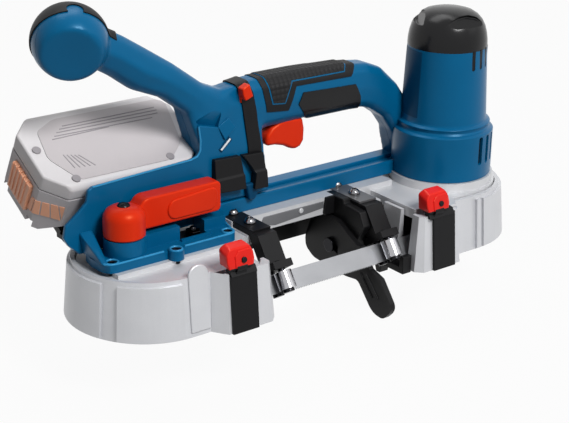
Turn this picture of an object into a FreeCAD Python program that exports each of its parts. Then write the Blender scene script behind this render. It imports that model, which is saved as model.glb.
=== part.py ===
"""A portable band saw: two wheels in silver covers, a motor over the drive wheel and a blue handle body.

X runs along the saw band from the idler wheel to the drive wheel, Y away from the operator's side,
Z up. The origin is the drive wheel's axis at the plane of the covers' undersides.
"""
import FreeCAD, Part
import math
import os
import Sketcher
from FreeCAD import Rotation, Vector

os.makedirs("parts", exist_ok=True)
doc = FreeCAD.newDocument("band_saw")
sheet = doc.addObject("Spreadsheet::Sheet", "dims")

SIZES = {
    # Fits
    "running_gap": 0.3, "fit_gap": 0.05, "seat_gap": 0.02, "sheet_gap": 0.1,
    # Saw band and wheels
    "wheel_distance": 243.65, "tyre_radius": 38.5, "tyre_thickness": 2.5, "wheel_width": 15.0,
    "wheel_web": 5.0, "wheel_rim": 5.0, "hub_radius": 17.0, "band_thickness": 0.6, "band_width": 13.0,
    "band_height": 15.0, "band_twist": 35.0,
    # Wheel covers
    "cover_height": 40.0, "cover_wall": 2.8, "cover_floor": 2.5, "cover_draft": 5.0, "cover_radius": 52.9,
    "cover_shift": 5.5, "left_end": 8.65, "left_wall": 50.65, "right_end": 3.1, "right_wall": 71.0,
    "strap_bulge": 10.6, "strap_width": 20.0, "strap_thickness": 1.8, "strap_inset": 27.0,
    "bulge_slope": 7.0, "corner_cut": 5.0, "slot_half": 6.0,
    "bulge_run": 46.0, "right_strap_inset": 23.0,
    # Frame
    "deck_top": 42.0, "deck_thickness": 7.0, "deck_gap": 0.8, "left_step": 7.0, "ledge_front": 4.0,
    "ledge_top": 46.0, "ledge_depth": 14.0, "lug_front": 14.0, "seat_radius": 38.0, "seat_top": 48.0,
    "boss_radius": 19.0,
    # Drive spindle, bearings and gears
    "spindle_radius": 6.0, "bearing_radius": 13.0, "bearing_width": 8.0, "carrier_radius": 22.0,
    "carrier_thickness": 4.0, "gear_module": 0.9, "gear_width": 10.0, "sun_teeth": 12.0,
    "planet_teeth": 24.0, "planet_pin": 3.0, "ring_wall": 2.4,
    # Motor
    "collar_radius": 36.6, "collar_top": 86.0, "barrel_radius": 31.0, "barrel_taper": 2.5,
    "barrel_top": 143.0, "motor_wall": 2.6, "cap_height": 25.5, "stator_length": 44.0, "rotor_radius": 13.0,
    "stator_gap": 0.8, "motor_shaft": 2.5, "motor_bearing": 8.0, "plate_thickness": 5.0, "vent_width": 2.2,
    # Blue handle body
    "shell_front": 14.5, "shell_split": 26.5, "spine_top": 54.0, "grip_top": 135.0,
    "grip_low": 101.0, "grip_bulge": 3.0, "knob_radius": 23.2, "knob_reach": 291.0, "knob_height": 180.3,
    "cap_skin": 1.0, "wall_top": 89.0, "screw_radius": 3.0, "shell_round": 5.0,
    # Controls
    "trigger_width": 15.0, "trigger_travel": 5.0, "button_travel": 3.0, "button_width": 8.0,
    "button_length": 9.0, "band_skin": 2.0,
    # Tension plate and lever
    "plate_floor": 3.0, "plate_rim": 5.5, "plate_front": 14.5, "lever_reach": 272.0, "lever_side": 0.5,
    "lever_boss": 13.5, "lever_low": 58.0, "lever_high": 78.0, "lever_length": 73.0, "lever_width": 13.0,
    "lever_rise": 2.0, "pivot_boss": 13.6, "plate_screw": 3.7, "bench_gap": 2.0, "bench_front": 3.0,
    "recess_length": 21.5, "lip_rise": 1.5,
    "lever_shaft": 5.0, "cam_radius": 7.0, "cam_throw": 4.47, "cam_slack": 1.3, "carriage_thickness": 7.0,
    "carriage_width": 30.0, "rail_width": 5.0, "axle_radius": 5.0,
    "idler_bearing": 11.0,
    # Guides
    "left_guide": 178.0, "right_guide": 85.5, "guide_width": 15.0, "arm_thickness": 10.0,
    "bar_thickness": 3.0, "guide_plate": 1.5, "guide_back": 23.0, "roller_radius": 6.0,
    "roller_length": 12.0, "bolt_radius": 2.5, "bolt_head": 4.0, "foot_length": 5.0,
    "foot_gap": 2.0, "screw_pitch": 20.0, "screw_head": 4.2,
    # Work stop and guards
    "stop_place": 101.0, "stop_thickness": 4.0, "stop_travel": 5.0, "guard_wall": 2.0,
    "finger_drop": 25.5,
    # Latches
    "latch_width": 21.0, "latch_height": 18.3, "latch_depth": 12.0, "latch_pin": 1.4, "latch_eye": 2.6,
    "latch_rise": 3.5, "knuckle_half": 4.0, "left_latch_shift": 2.0, "right_latch_shift": 6.0,
    # Battery
    "pack_length": 116.0, "pack_depth": 66.0, "pack_height": 46.0, "pack_tilt": 29.0, "pack_inner": 196.0,
    "pack_back": 17.5, "lid_height": 12.0, "pack_cut": 10.0, "pack_corner": 14.0, "pack_button": 24.0,
    "dock_thickness": 5.0, "rail_height": 5.0,
}
for row, (name, value) in enumerate(SIZES.items(), start=1):
    sheet.set(f"A{row}", name)
    sheet.set(f"B{row}", str(value))
    sheet.setAlias(f"B{row}", name)
doc.recompute()


class Size:
    """A length with its value and the sheet expression that it comes from."""

    def __init__(self, text, value):
        self.text = text
        self.value = value

    def __add__(self, other):
        other = as_size(other)
        return Size(f"({self.text} + {other.text})", self.value + other.value)

    def __sub__(self, other):
        other = as_size(other)
        return Size(f"({self.text} - {other.text})", self.value - other.value)

    def __mul__(self, other):
        other = as_size(other)
        return Size(f"({self.text} * {other.text})", self.value * other.value)

    def __truediv__(self, other):
        other = as_size(other)
        return Size(f"({self.text} / {other.text})", self.value / other.value)

    def __rsub__(self, other):
        return as_size(other) - self

    def __neg__(self):
        return Size(f"(0 - {self.text})", -self.value)

    __radd__ = __add__
    __rmul__ = __mul__


def as_size(length):
    if isinstance(length, Size):
        return length
    return Size(f"({length})", float(length))


def sine(angle):
    return Size(f"sin({angle.text})", math.sin(math.radians(angle.value)))


def cosine(angle):
    return Size(f"cos({angle.text})", math.cos(math.radians(angle.value)))


def tangent(angle):
    return Size(f"tan({angle.text})", math.tan(math.radians(angle.value)))


class Sheet:
    """The sheet's cells by name."""

    def __getattr__(self, name):
        return Size(f"dims.{name}", float(sheet.get(name)))


d = Sheet()
NODES = {}


def bind(item, path, length):
    item.setExpression(path, as_size(length).text)


def place(item, x, y, z):
    for axis, length in zip("xyz", (x, y, z)):
        bind(item, f"Placement.Base.{axis}", length)
    return item


def box(x_span, y_span, z_span):
    item = doc.addObject("Part::Box", "box")
    spans = (x_span, y_span, z_span)
    for path, (low, high) in zip(("Length", "Width", "Height"), spans):
        bind(item, path, as_size(high) - low)
    return place(item, *[low for low, high in spans])


AXIS_TURNS = {
    "X": Rotation(Vector(0, 1, 0), 90),
    "Y": Rotation(Vector(1, 0, 0), -90),
    "Z": Rotation(),
}


def rod(axis, start, radius, length, far_radius=None):
    """A round bar, or a cone where its far radius is given, from its start along +axis."""
    if far_radius is None:
        item = doc.addObject("Part::Cylinder", "rod")
        bind(item, "Radius", radius)
    else:
        item = doc.addObject("Part::Cone", "cone")
        bind(item, "Radius1", radius)
        bind(item, "Radius2", far_radius)
    bind(item, "Height", length)
    item.Placement.Rotation = AXIS_TURNS[axis]
    return place(item, *start)


def ball(centre, radius):
    item = doc.addObject("Part::Sphere", "ball")
    bind(item, "Radius", radius)
    return place(item, *centre)


def fuse(*items):
    joined = doc.addObject("Part::MultiFuse", "fuse")
    joined.Shapes = list(items)
    joined.Refine = True
    return joined


def cut(base, *tools):
    result = doc.addObject("Part::Cut", "cut")
    result.Base = base
    result.Tool = tools[0] if len(tools) == 1 else fuse(*tools)
    return result


def common(first, second):
    shared = doc.addObject("Part::Common", "common")
    shared.Base = first
    shared.Tool = second
    return shared


def group(*items):
    """Separate solids that share one node."""
    gathered = doc.addObject("Part::Compound", "group")
    gathered.Links = list(items)
    return gathered


def tube(axis, start, radius, bore, length):
    return cut(rod(axis, start, radius, length), rod(axis, start, bore, length))


def node(label, item):
    item.Label = label
    NODES[label] = item
    return item


def solid_node(label, shape):
    item = doc.addObject("Part::Feature", label)
    item.Shape = shape
    return node(label, item)


def draw(sketch, outline):
    """Draws a circle (x, y, radius) or a closed run of lines through (x, y) corners, tied to the sheet."""
    first = sketch.GeometryCount
    if isinstance(outline, tuple):
        x, y, radius = [as_size(length) for length in outline]
        sketch.addGeometry(Part.Circle(Vector(x.value, y.value, 0), Vector(0, 0, 1), radius.value))
        kinds = [("DistanceX", x), ("DistanceY", y), ("Radius", radius)]
        rules = [Sketcher.Constraint(kind, -1, 1, first, 3, length.value) for kind, length in kinds[:2]]
        rules.append(Sketcher.Constraint("Radius", first, radius.value))
        lengths = [length for kind, length in kinds]
    else:
        corners = [(as_size(x), as_size(y)) for x, y in outline]
        points = [Vector(x.value, y.value, 0) for x, y in corners]
        sketch.addGeometry([Part.LineSegment(a, b) for a, b in zip(points, points[1:] + points[:1])])
        count = len(corners)
        sketch.addConstraint([
            Sketcher.Constraint("Coincident", first + (index - 1) % count, 2, first + index, 1)
            for index in range(count)
        ])
        rules = []
        lengths = []
        for index, corner in enumerate(corners):
            for kind, length in zip(("DistanceX", "DistanceY"), corner):
                rules.append(Sketcher.Constraint(kind, -1, 1, first + index, 1, length.value))
                lengths.append(length)
    for number, length in zip(sketch.addConstraint(rules), lengths):
        sketch.setExpression(f"Constraints[{number}]", length.text)


def sketch_on(body, plane, offset, outlines):
    sketch = body.newObject("Sketcher::SketchObject", "outline")
    support = [item for item in body.Origin.OriginFeatures if item.Role == plane + "_Plane"][0]
    sketch.AttachmentSupport = [(support, "")]
    sketch.MapMode = "FlatFace"
    bind(sketch, "AttachmentOffset.Base.z", offset)
    for outline in outlines:
        draw(sketch, outline)
    return sketch


def pad(body, plane, outlines, low, high, draft=None):
    low, high = as_size(low), as_size(high)
    feature = body.newObject("PartDesign::Pad", "pad")
    feature.Profile = sketch_on(body, plane, -high if plane == "XZ" else low, outlines)
    bind(feature, "Length", high - low)
    if draft is not None:
        bind(feature, "TaperAngle", -draft)
    body.Tip = feature
    return feature


def pocket(body, plane, outlines, low, high, draft=None):
    low, high = as_size(low), as_size(high)
    feature = body.newObject("PartDesign::Pocket", "pocket")
    feature.Profile = sketch_on(body, plane, -low if plane == "XZ" else high, outlines)
    bind(feature, "Length", high - low)
    if draft is not None:
        bind(feature, "TaperAngle", draft)
    body.Tip = feature
    return feature


def slab(plane, outlines, low, high, draft=None):
    body = doc.addObject("PartDesign::Body", "slab")
    pad(body, plane, outlines, low, high, draft)
    return body


def turned(outline, x=0, y=0, z=0):
    """A solid of revolution about a line along Z, from an outline of (radius, height) corners."""
    body = doc.addObject("PartDesign::Body", "turned")
    sketch = sketch_on(body, "XZ", 0, [outline])
    feature = body.newObject("PartDesign::Revolution", "revolution")
    feature.Profile = sketch
    feature.ReferenceAxis = (sketch, ["V_Axis"])
    feature.Angle = 360
    body.Tip = feature
    return place(body, x, y, z)


def round_edges(body, radius, wanted):
    """Rounds the edges of a body that the test picks."""
    doc.recompute()
    base = body.Tip
    names = [f"Edge{number}" for number, edge in enumerate(base.Shape.Edges, start=1) if wanted(edge)]
    feature = body.newObject("PartDesign::Fillet", "round")
    feature.Base = (base, names)
    bind(feature, "Radius", radius)
    body.Tip = feature


def lies_at(axis, level):
    """A test for edges that lie wholly at one level of an axis."""
    index = "XYZ".index(axis)

    def test(edge):
        return all(abs(vertex.Point[index] - as_size(level).value) < 1e-4 for vertex in edge.Vertexes)

    return test


def runs_along(axis):
    """A test for straight edges along one axis."""
    index = "XYZ".index(axis)

    def test(edge):
        ends = [vertex.Point for vertex in edge.Vertexes]
        if len(ends) != 2:
            return False
        span = ends[1] - ends[0]
        return abs(abs(span[index]) - span.Length) < 1e-4

    return test


# Places that several pieces share

IDLER_X = -d.wheel_distance
RUN_Y = d.tyre_radius + d.running_gap + d.band_thickness / 2
WHEEL_LOW = d.band_height - d.wheel_width / 2
WHEEL_HIGH = d.band_height + d.wheel_width / 2
COVER_LEAN = d.cover_height * tangent(d.cover_draft)
LEFT_ARC_X = IDLER_X - d.left_end
LEFT_WALL_X = IDLER_X + d.left_wall
RIGHT_ARC_X = -d.right_end
RIGHT_WALL_X = -d.right_wall
FRONT_Y = d.cover_shift - d.cover_radius
BACK_Y = d.cover_shift + d.cover_radius
DECK_LOW = d.deck_top - d.deck_thickness
SHELL_BACK = 2 * d.shell_split - d.shell_front
GUIDES = {"left": -d.left_guide, "right": -d.right_guide}


# Saw band

def band_section(x, y, angle):
    """The band's cross-section at one place of a run, its width turned from upright by an angle."""
    turn = math.radians(angle)
    across = Vector(0, -math.sin(turn), -math.cos(turn)) * (d.band_width.value / 2)
    through = Vector(0, math.cos(turn), -math.sin(turn)) * (d.band_thickness.value / 2)
    centre = Vector(x, y, d.band_height.value)
    corners = [centre + across + through, centre + across - through,
               centre - across - through, centre - across + through]
    return Part.makePolygon(corners + corners[:1])


def make_band():
    """A closed loop, upright on the wheels and turned to the cut between the guides."""
    idler, run = IDLER_X.value, RUN_Y.value
    low = d.band_height.value - d.band_width.value / 2
    places = [(idler, 0), (GUIDES["left"].value, d.band_twist.value),
              (GUIDES["right"].value, d.band_twist.value), (0, 0)]
    sections = [band_section(x, -run, angle) for x, angle in places]
    pieces = [Part.makeLoft(list(pair), True, True) for pair in zip(sections, sections[1:])]
    pieces.append(Part.makeLoft([band_section(idler, run, 0), band_section(0, run, 0)], True, True))
    half = d.band_thickness.value / 2
    for x, start in ((0, -90), (idler, 90)):
        base = Vector(x, 0, low)
        outer = Part.makeCylinder(run + half, d.band_width.value, base, Vector(0, 0, 1), 180)
        inner = Part.makeCylinder(run - half, d.band_width.value, base, Vector(0, 0, 1), 180)
        ring = outer.cut(inner)
        ring.rotate(base, Vector(0, 0, 1), start)
        pieces.append(ring)
    return pieces[0].fuse(pieces[1:]).removeSplitter()


solid_node("saw_band", make_band())


# Wheels

def wheel(label, x, bore):
    """A dished wheel with a hub, a web and a rim, and the rubber tyre that is bonded round it."""
    seat = d.tyre_radius - d.tyre_thickness
    web_low = d.band_height - d.wheel_web / 2
    web_high = d.band_height + d.wheel_web / 2
    inside = seat - d.wheel_rim
    outline = [(bore, WHEEL_LOW), (d.hub_radius, WHEEL_LOW), (d.hub_radius, web_low), (inside, web_low),
               (inside, WHEEL_LOW), (seat, WHEEL_LOW), (seat, WHEEL_HIGH), (inside, WHEEL_HIGH),
               (inside, web_high), (d.hub_radius, web_high), (d.hub_radius, WHEEL_HIGH), (bore, WHEEL_HIGH)]
    node(label + "_wheel", turned(outline, x))
    node(label + "_tyre", tube("Z", (x, 0, WHEEL_LOW), d.tyre_radius, seat + d.seat_gap, d.wheel_width))


wheel("drive", 0, d.spindle_radius + d.seat_gap)
wheel("idler", IDLER_X, d.idler_bearing + d.seat_gap)


# Idler axle, bearings and sliding carriage

CARRIAGE_HIGH = DECK_LOW - d.running_gap
CARRIAGE_LOW = CARRIAGE_HIGH - d.carriage_thickness
LEVER_X = -d.lever_reach
LEVER_Y = d.lever_side
CAM_X = LEVER_X - d.cam_throw

idler_bearing_width = d.wheel_width / 2
idler_bore = d.axle_radius + d.fit_gap
node("idler_bearings", group(*[
    tube("Z", (IDLER_X, 0, level), d.idler_bearing, idler_bore, idler_bearing_width - d.fit_gap)
    for level in (WHEEL_LOW, d.band_height + d.fit_gap)
]))
axle_head = 2.0
axle_flange = 3.0
axle_low = WHEEL_LOW - d.running_gap
node("idler_axle", fuse(
    rod("Z", (IDLER_X, 0, axle_low), d.axle_radius, CARRIAGE_HIGH - axle_low),
    rod("Z", (IDLER_X, 0, axle_low - axle_head), d.axle_radius + axle_flange, axle_head)))

yoke_end = 8.0
yoke_left = CAM_X - d.cam_radius - d.cam_slack
yoke_right = LEVER_X + d.cam_radius + d.cam_throw + d.running_gap
yoke_half = d.cam_radius + d.cam_throw + d.running_gap
carriage_left = yoke_left - yoke_end
carriage_right = IDLER_X + d.axle_radius + yoke_end
carriage_plate = box((carriage_left, carriage_right), (-d.carriage_width / 2, d.carriage_width / 2),
                     (CARRIAGE_LOW, CARRIAGE_HIGH))
node("idler_carriage", cut(
    carriage_plate,
    box((yoke_left, yoke_right), (LEVER_Y - yoke_half, LEVER_Y + yoke_half), (CARRIAGE_LOW, CARRIAGE_HIGH)),
    rod("Z", (IDLER_X, 0, CARRIAGE_LOW), d.axle_radius + d.seat_gap, d.carriage_thickness)))


# Wheel covers

def cover_outline(arc_x, wall_x, toward, bulge_start, inset):
    """The plan of a cover between its round end and its inner wall, drawn in by an inset."""
    front = FRONT_Y + inset
    back = BACK_Y - inset
    bulge = front - d.strap_bulge
    wall = wall_x - toward * inset
    return [(arc_x, back), (arc_x, front), (bulge_start, front),
            (bulge_start + toward * d.bulge_slope, bulge), (wall - toward * d.corner_cut, bulge),
            (wall, bulge + d.corner_cut), (wall, back - d.corner_cut), (wall - toward * d.corner_cut, back)]


def rectangle(x_span, y_span):
    return [(x_span[0], y_span[0]), (x_span[1], y_span[0]), (x_span[1], y_span[1]), (x_span[0], y_span[1])]


def make_cover(label, arc_x, wall_x, toward):
    """A drafted pan, open at the top, with slots in its inner wall for the two runs of the band."""
    bulge_start = wall_x - toward * d.bulge_run
    body = doc.addObject("PartDesign::Body", label)
    outline = cover_outline(arc_x, wall_x, toward, bulge_start, 0)
    pad(body, "XY", [(arc_x, d.cover_shift, d.cover_radius)], 0, d.cover_height, d.cover_draft)
    pad(body, "XY", [outline], 0, d.cover_height, d.cover_draft)
    inner = cover_outline(arc_x, wall_x, toward, bulge_start, d.cover_wall + COVER_LEAN)
    inner_radius = d.cover_radius - d.cover_wall - COVER_LEAN
    pocket(body, "XY", [(arc_x, d.cover_shift, inner_radius)], d.cover_floor, d.cover_height)
    pocket(body, "XY", [inner], d.cover_floor, d.cover_height)
    past = 2
    slot_low = d.band_height - d.band_width / 2 - past
    near = wall_x - toward * (COVER_LEAN + d.cover_wall + past)
    far = wall_x + toward * past
    for side in (-1, 1):
        run = side * RUN_Y
        span = (run - d.slot_half, run + d.slot_half)
        pocket(body, "XY", [rectangle((near, far), span)], slot_low, d.cover_height)
    bridge_low = d.ledge_top - d.ledge_depth - 1
    bridge = (-d.lug_front - 1, d.shell_split + 1)
    pocket(body, "XY", [rectangle((near, far), bridge)], bridge_low, d.cover_height)
    return node(label, body)


make_cover("left_cover", LEFT_ARC_X, LEFT_WALL_X, 1)
make_cover("right_cover", RIGHT_ARC_X, RIGHT_WALL_X, -1)


# Straps and latches on the covers

STRAP_X = {
    "left": LEFT_WALL_X - d.strap_inset,
    "right": RIGHT_WALL_X + d.right_strap_inset,
}
LATCH_X = {
    "left": STRAP_X["left"] - d.left_latch_shift,
    "right": STRAP_X["right"] - d.right_latch_shift,
}
BULGE_Y = FRONT_Y - d.strap_bulge
LATCH_Y = BULGE_Y + COVER_LEAN - d.sheet_gap - d.strap_thickness / 2
LATCH_Z = d.cover_height + d.latch_rise
LATCH_FRONT = LATCH_Y - 0.5
LATCH_BACK = LATCH_FRONT + d.latch_depth
LATCH_LOW = LATCH_Z - d.latch_eye + 0.4
PIN_LENGTH = d.latch_width - 4


def make_strap(label, x, knuckle_x):
    """A black strap down the front of a cover, with a knuckle above it for the latch's pin."""
    low_y = BULGE_Y - d.sheet_gap
    thick = d.strap_thickness
    half = d.strap_width / 2
    blade_top = d.cover_height - d.sheet_gap
    lean = blade_top * tangent(d.cover_draft)
    blade = slab("YZ", [[(low_y, 0), (low_y + lean, blade_top), (low_y + lean - thick, blade_top),
                         (low_y - thick, 0)]], x - half, x + half)
    tab_half = d.knuckle_half
    tab = box((knuckle_x - tab_half, knuckle_x + tab_half), (LATCH_Y - 1.3, LATCH_Y + 0.2),
              (blade_top - 2, LATCH_Z))
    eye = rod("X", (knuckle_x - tab_half, LATCH_Y, LATCH_Z), d.latch_eye, 2 * tab_half)
    pin = rod("X", (knuckle_x - PIN_LENGTH / 2, LATCH_Y, LATCH_Z), d.latch_pin, PIN_LENGTH)
    node(label, fuse(blade, tab, eye, pin))


def make_latch(label, x):
    """A red latch that closes over the deck's edge and tips forward on the strap's pin."""
    wide = d.latch_width / 2
    top = d.cover_height + d.latch_height
    back, front = LATCH_BACK, LATCH_FRONT
    body = slab("YZ", [[(front, LATCH_LOW), (back, LATCH_LOW), (back, top - 4), (back - 4, top),
                        (front + 5, top), (front, top - 6)]], x - wide, x + wide)
    edge_round = 1.5
    round_edges(body, edge_round, runs_along("X"))
    room = d.latch_eye + d.running_gap
    gate = d.knuckle_half + d.running_gap
    slot = box((x - gate, x + gate), (front - 1, LATCH_Y + room), (LATCH_LOW - 1, LATCH_Z + room))
    bore = rod("X", (x - PIN_LENGTH / 2 - d.running_gap, LATCH_Y, LATCH_Z), d.latch_pin + d.fit_gap,
               PIN_LENGTH + 2 * d.running_gap)
    node(label, cut(body, slot, bore))


for side, x in STRAP_X.items():
    make_strap(side + "_strap", x, LATCH_X[side])
    make_latch(side + "_latch", LATCH_X[side])


# Main frame: two decks, the ledge between them, the bearing boss and the carriage's rails

DECK_INSET = d.cover_wall + COVER_LEAN + d.deck_gap
LEFT_DECK_TOP = d.deck_top - 1


def deck(arc_x, wall_x, toward, low, high):
    bulge_start = wall_x - toward * d.bulge_run
    outline = cover_outline(arc_x, wall_x, toward, bulge_start, DECK_INSET)
    arc = rod("Z", (arc_x, d.cover_shift, low), d.cover_radius - DECK_INSET, high - low)
    return [slab("XY", [outline], low, high), arc]


def make_frame():
    half = d.guide_width / 2 + d.sheet_gap
    lip = 1
    solids = deck(RIGHT_ARC_X, RIGHT_WALL_X, -1, DECK_LOW, d.deck_top)
    solids += deck(LEFT_ARC_X, LEFT_WALL_X, 1, DECK_LOW, LEFT_DECK_TOP - d.left_step + 4)
    ledge_low = d.ledge_top - d.ledge_depth
    ledge_left = -d.left_guide - half - lip
    ledge_right = RIGHT_WALL_X + DECK_INSET + 20
    ledge_y = (d.ledge_front, d.shell_split)
    lug_y = (-d.lug_front, d.shell_split)
    deck_z = (DECK_LOW, d.deck_top)
    solids.append(box((ledge_left, ledge_right), ledge_y, (DECK_LOW, d.ledge_top)))
    web_low = (ledge_low + DECK_LOW) / 2
    solids.append(box((ledge_left, RIGHT_WALL_X - lip), ledge_y, (web_low, d.ledge_top)))
    solids.append(box((LEFT_WALL_X + lip, ledge_left), ledge_y, (web_low, LEFT_DECK_TOP)))
    plate_y = (-d.plate_front - d.plate_screw, d.shell_front)
    solids.append(box((CAM_X - 12, LEFT_WALL_X - DECK_INSET), plate_y, (DECK_LOW, LEFT_DECK_TOP)))
    for x in GUIDES.values():
        solids.append(box((x - half - lip, x + half + lip), lug_y, deck_z))
    stop_x = -d.stop_place + d.stop_thickness / 2 + d.running_gap
    solids.append(box((stop_x, -d.right_guide + half), (-6, 12), (3, d.deck_top)))
    solids.append(box((-d.right_guide, RIGHT_WALL_X + lip), lug_y, deck_z))
    solids.append(box((LEFT_WALL_X - DECK_INSET - 2, -d.left_guide), lug_y, (DECK_LOW, LEFT_DECK_TOP)))
    solids.append(rod("Z", (0, 0, DECK_LOW), d.seat_radius, d.seat_top - DECK_LOW))
    solids.append(rod("Z", (0, 0, WHEEL_HIGH + 2), d.boss_radius, d.seat_top - WHEEL_HIGH - 2))
    for side in (-1, 1):
        near = side * (d.carriage_width / 2 + d.running_gap)
        far = near + side * d.rail_width
        span = (near, far) if side > 0 else (far, near)
        solids.append(box((carriage_left + 10, carriage_right), span, (CARRIAGE_LOW, DECK_LOW + 1)))
    frame = fuse(*solids)
    tools = [box((x - half, x + half), (-60, d.guide_back + d.sheet_gap), (d.deck_top, d.ledge_top + 10))
             for x in GUIDES.values()]
    bearing_seat = d.bearing_radius + d.seat_gap
    tools.append(rod("Z", (0, 0, WHEEL_HIGH + 3), bearing_seat, d.seat_top))
    tools.append(rod("Z", (0, 0, 0), d.spindle_radius + 3, d.seat_top))
    tools.append(rod("Z", (LEVER_X, LEVER_Y, 0), d.lever_shaft + d.fit_gap, d.seat_top + 20))
    for x, y in guide_screw_places():
        tools.append(rod("Z", (x, y, DECK_LOW - 1), d.bolt_radius + d.seat_gap, 30))
    for x, y in plate_screw_places():
        tools.append(rod("Z", (x, y, DECK_LOW - 1), d.bolt_radius + d.seat_gap, 30))
    tools.append(rod("X", (stop_x - 1, 0, STOP_SCREW_Z), d.bolt_radius + d.seat_gap, 12))
    for x in LATCH_X.values():
        notch_half = d.latch_width / 2 + 1
        tools.append(box((x - notch_half, x + notch_half), (BULGE_Y, LATCH_BACK + lip),
                         (DECK_LOW - lip, d.deck_top + lip)))
    return cut(frame, *tools)


def guide_screw_places():
    places = []
    for x, back in ((GUIDES["left"], 15), (GUIDES["right"], 17)):
        places.append((x, as_size(back)))
        places.append((x, back - d.screw_pitch))
    return places


def plate_screw_places():
    right = LEVER_X + d.lever_length
    front = -d.plate_front
    return [(LEVER_X - 15.2, front + 5.5), (right + 0.5, front + 6), (LEVER_X + 27.8, front - 1.7),
            (right - 16, LEVER_Y + 5.8)]


STOP_SCREW_Z = as_size(11)
node("main_frame", make_frame())


# Guides: arms with a leg to the rollers, plates, rollers, bolts and dome-head screws

def cut_point(along, across):
    """The height and depth of a point by its distances along and across the turned band's width."""
    lean, rise = sine(d.band_twist), cosine(d.band_twist)
    along, across = as_size(along), as_size(across)
    return -RUN_Y - along * lean + across * rise, d.band_height - along * rise - across * lean


def leg_edge(level, across):
    """Where a line along the turned band's width, at a distance across it, meets a level."""
    across = as_size(across)
    return -RUN_Y + across / cosine(d.band_twist) + (level - d.band_height) * tangent(d.band_twist)


ROLLER_OFFSET = d.roller_radius + d.band_thickness / 2 + d.running_gap
BAR_HIGH = d.deck_top + d.bar_thickness
FOOT_END = -d.roller_length / 2 - d.foot_gap


def tilted_rod(x, along_low, across, radius, length):
    """A round bar along the turned band's width, from its lower end upward."""
    item = doc.addObject("Part::Cylinder", "tilted_rod")
    bind(item, "Radius", radius)
    bind(item, "Height", length)
    item.Placement.Rotation = Rotation(Vector(1, 0, 0), -d.band_twist.value)
    bind(item, "Placement.Rotation.Angle", -d.band_twist)
    y, z = cut_point(along_low, across)
    return place(item, x, y, z)


def make_guide_arm(x):
    half = d.arm_thickness / 2
    foot_top = FOOT_END - d.foot_length
    reach = ROLLER_OFFSET + d.bolt_radius + 2
    outline = [(d.guide_back, BAR_HIGH), (leg_edge(BAR_HIGH, -half), BAR_HIGH),
               cut_point(foot_top, -half), cut_point(foot_top, -reach), cut_point(FOOT_END, -reach),
               cut_point(FOOT_END, reach), cut_point(foot_top, reach), cut_point(foot_top, half),
               (leg_edge(d.deck_top, half), d.deck_top), (d.guide_back, d.deck_top)]
    arm = slab("YZ", [outline], x - d.guide_width / 2, x + d.guide_width / 2)
    bore = d.bolt_radius + d.seat_gap
    holes = [tilted_rod(x, FOOT_END + 1, side * ROLLER_OFFSET, bore, d.foot_length + 2) for side in (-1, 1)]
    return arm, holes


def make_guides():
    arms, plates, bolts, screws = [], [], [], []
    for side, x in GUIDES.items():
        arm, holes = make_guide_arm(x)
        span = (x - d.guide_width / 2, x + d.guide_width / 2)
        plate = box(span, (leg_edge(BAR_HIGH, 0), d.guide_back), (BAR_HIGH, BAR_HIGH + d.guide_plate))
        for screw_x, y in guide_screw_places():
            if screw_x is x:
                top = BAR_HIGH + d.guide_plate
                hole = rod("Z", (x, y, d.deck_top - 1), d.bolt_radius + d.seat_gap, 12)
                holes.append(hole)
                plate = cut(plate, hole)
                upper = rod("Z", (x, y, top), d.screw_head, d.screw_head)
                dome = common(ball((x, y, top), d.screw_head), upper)
                socket = rod("Z", (x, y, top + 2), 1.6, 4)
                shank = rod("Z", (x, y, DECK_LOW + 1), d.bolt_radius, top - DECK_LOW - 1)
                screws.append(cut(fuse(dome, shank), socket))
        arms.append(cut(arm, *holes))
        plates.append(plate)
        for place_name, sign in (("front", -1), ("back", 1)):
            across = sign * ROLLER_OFFSET
            low = d.roller_length / 2
            roller = cut(tilted_rod(x, low, across, d.roller_radius, d.roller_length),
                         tilted_rod(x, low, across, d.bolt_radius + d.fit_gap, d.roller_length))
            node(f"guide_roller_{side}_{place_name}", roller)
            end = low + d.fit_gap
            shank_length = d.roller_length + d.foot_gap + d.foot_length
            head_depth = 2.2
            bolts.append(fuse(tilted_rod(x, end + head_depth, across, d.bolt_head, head_depth),
                              tilted_rod(x, end, across, d.bolt_radius, shank_length)))
    node("guide_arms", group(*arms))
    node("guide_plates", group(*plates))
    node("guide_bolts", group(*bolts))
    node("guide_screws", group(*screws))


make_guides()


# Work stop, its screw and the guards of the band

SLIDE_RISE = 0.3
stop_low = -d.stop_place - d.stop_thickness / 2
stop_high = -d.stop_place + d.stop_thickness / 2


def make_stop():
    """A plate across the throat behind the cut, with an elongated slot and a finger that points down."""
    clear = 2.5
    tip = -d.finger_drop
    outline = [cut_point(-10, 4 + clear), cut_point(-8, clear), cut_point(9, clear), (-53.6, 2.7),
               (-66.3, -13.2), (-65, tip + 7), (-58, tip), (-50, tip + 0.5), (-44.9, tip + 3),
               (-30.2, -5.9), (-16.6, -7.7), (19.4, -5.6), (28.5, 0), (29.5, 8), (24, 22),
               (12, DECK_LOW - 4), (-6, DECK_LOW - 4)]
    body = slab("YZ", [outline], stop_low, stop_high)
    half = d.bolt_radius + d.running_gap
    reach = half + d.stop_travel
    tall = half * math.hypot(1, SLIDE_RISE)
    near, far = STOP_SCREW_Z + half * SLIDE_RISE, STOP_SCREW_Z - reach * SLIDE_RISE
    slot = [(-reach, far - tall), (half, near - tall), (half, near + tall), (-reach, far + tall)]
    pocket(body, "YZ", [slot], stop_low - 1, stop_high + 1)
    return node("work_stop", body)


make_stop()
head = 2.5
node("stop_screw", fuse(
    rod("X", (stop_low - d.running_gap - head, 0, STOP_SCREW_Z), d.screw_head + 1, head),
    rod("X", (stop_low - d.running_gap - 1, 0, STOP_SCREW_Z), d.bolt_radius, d.stop_thickness + 10)))

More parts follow.
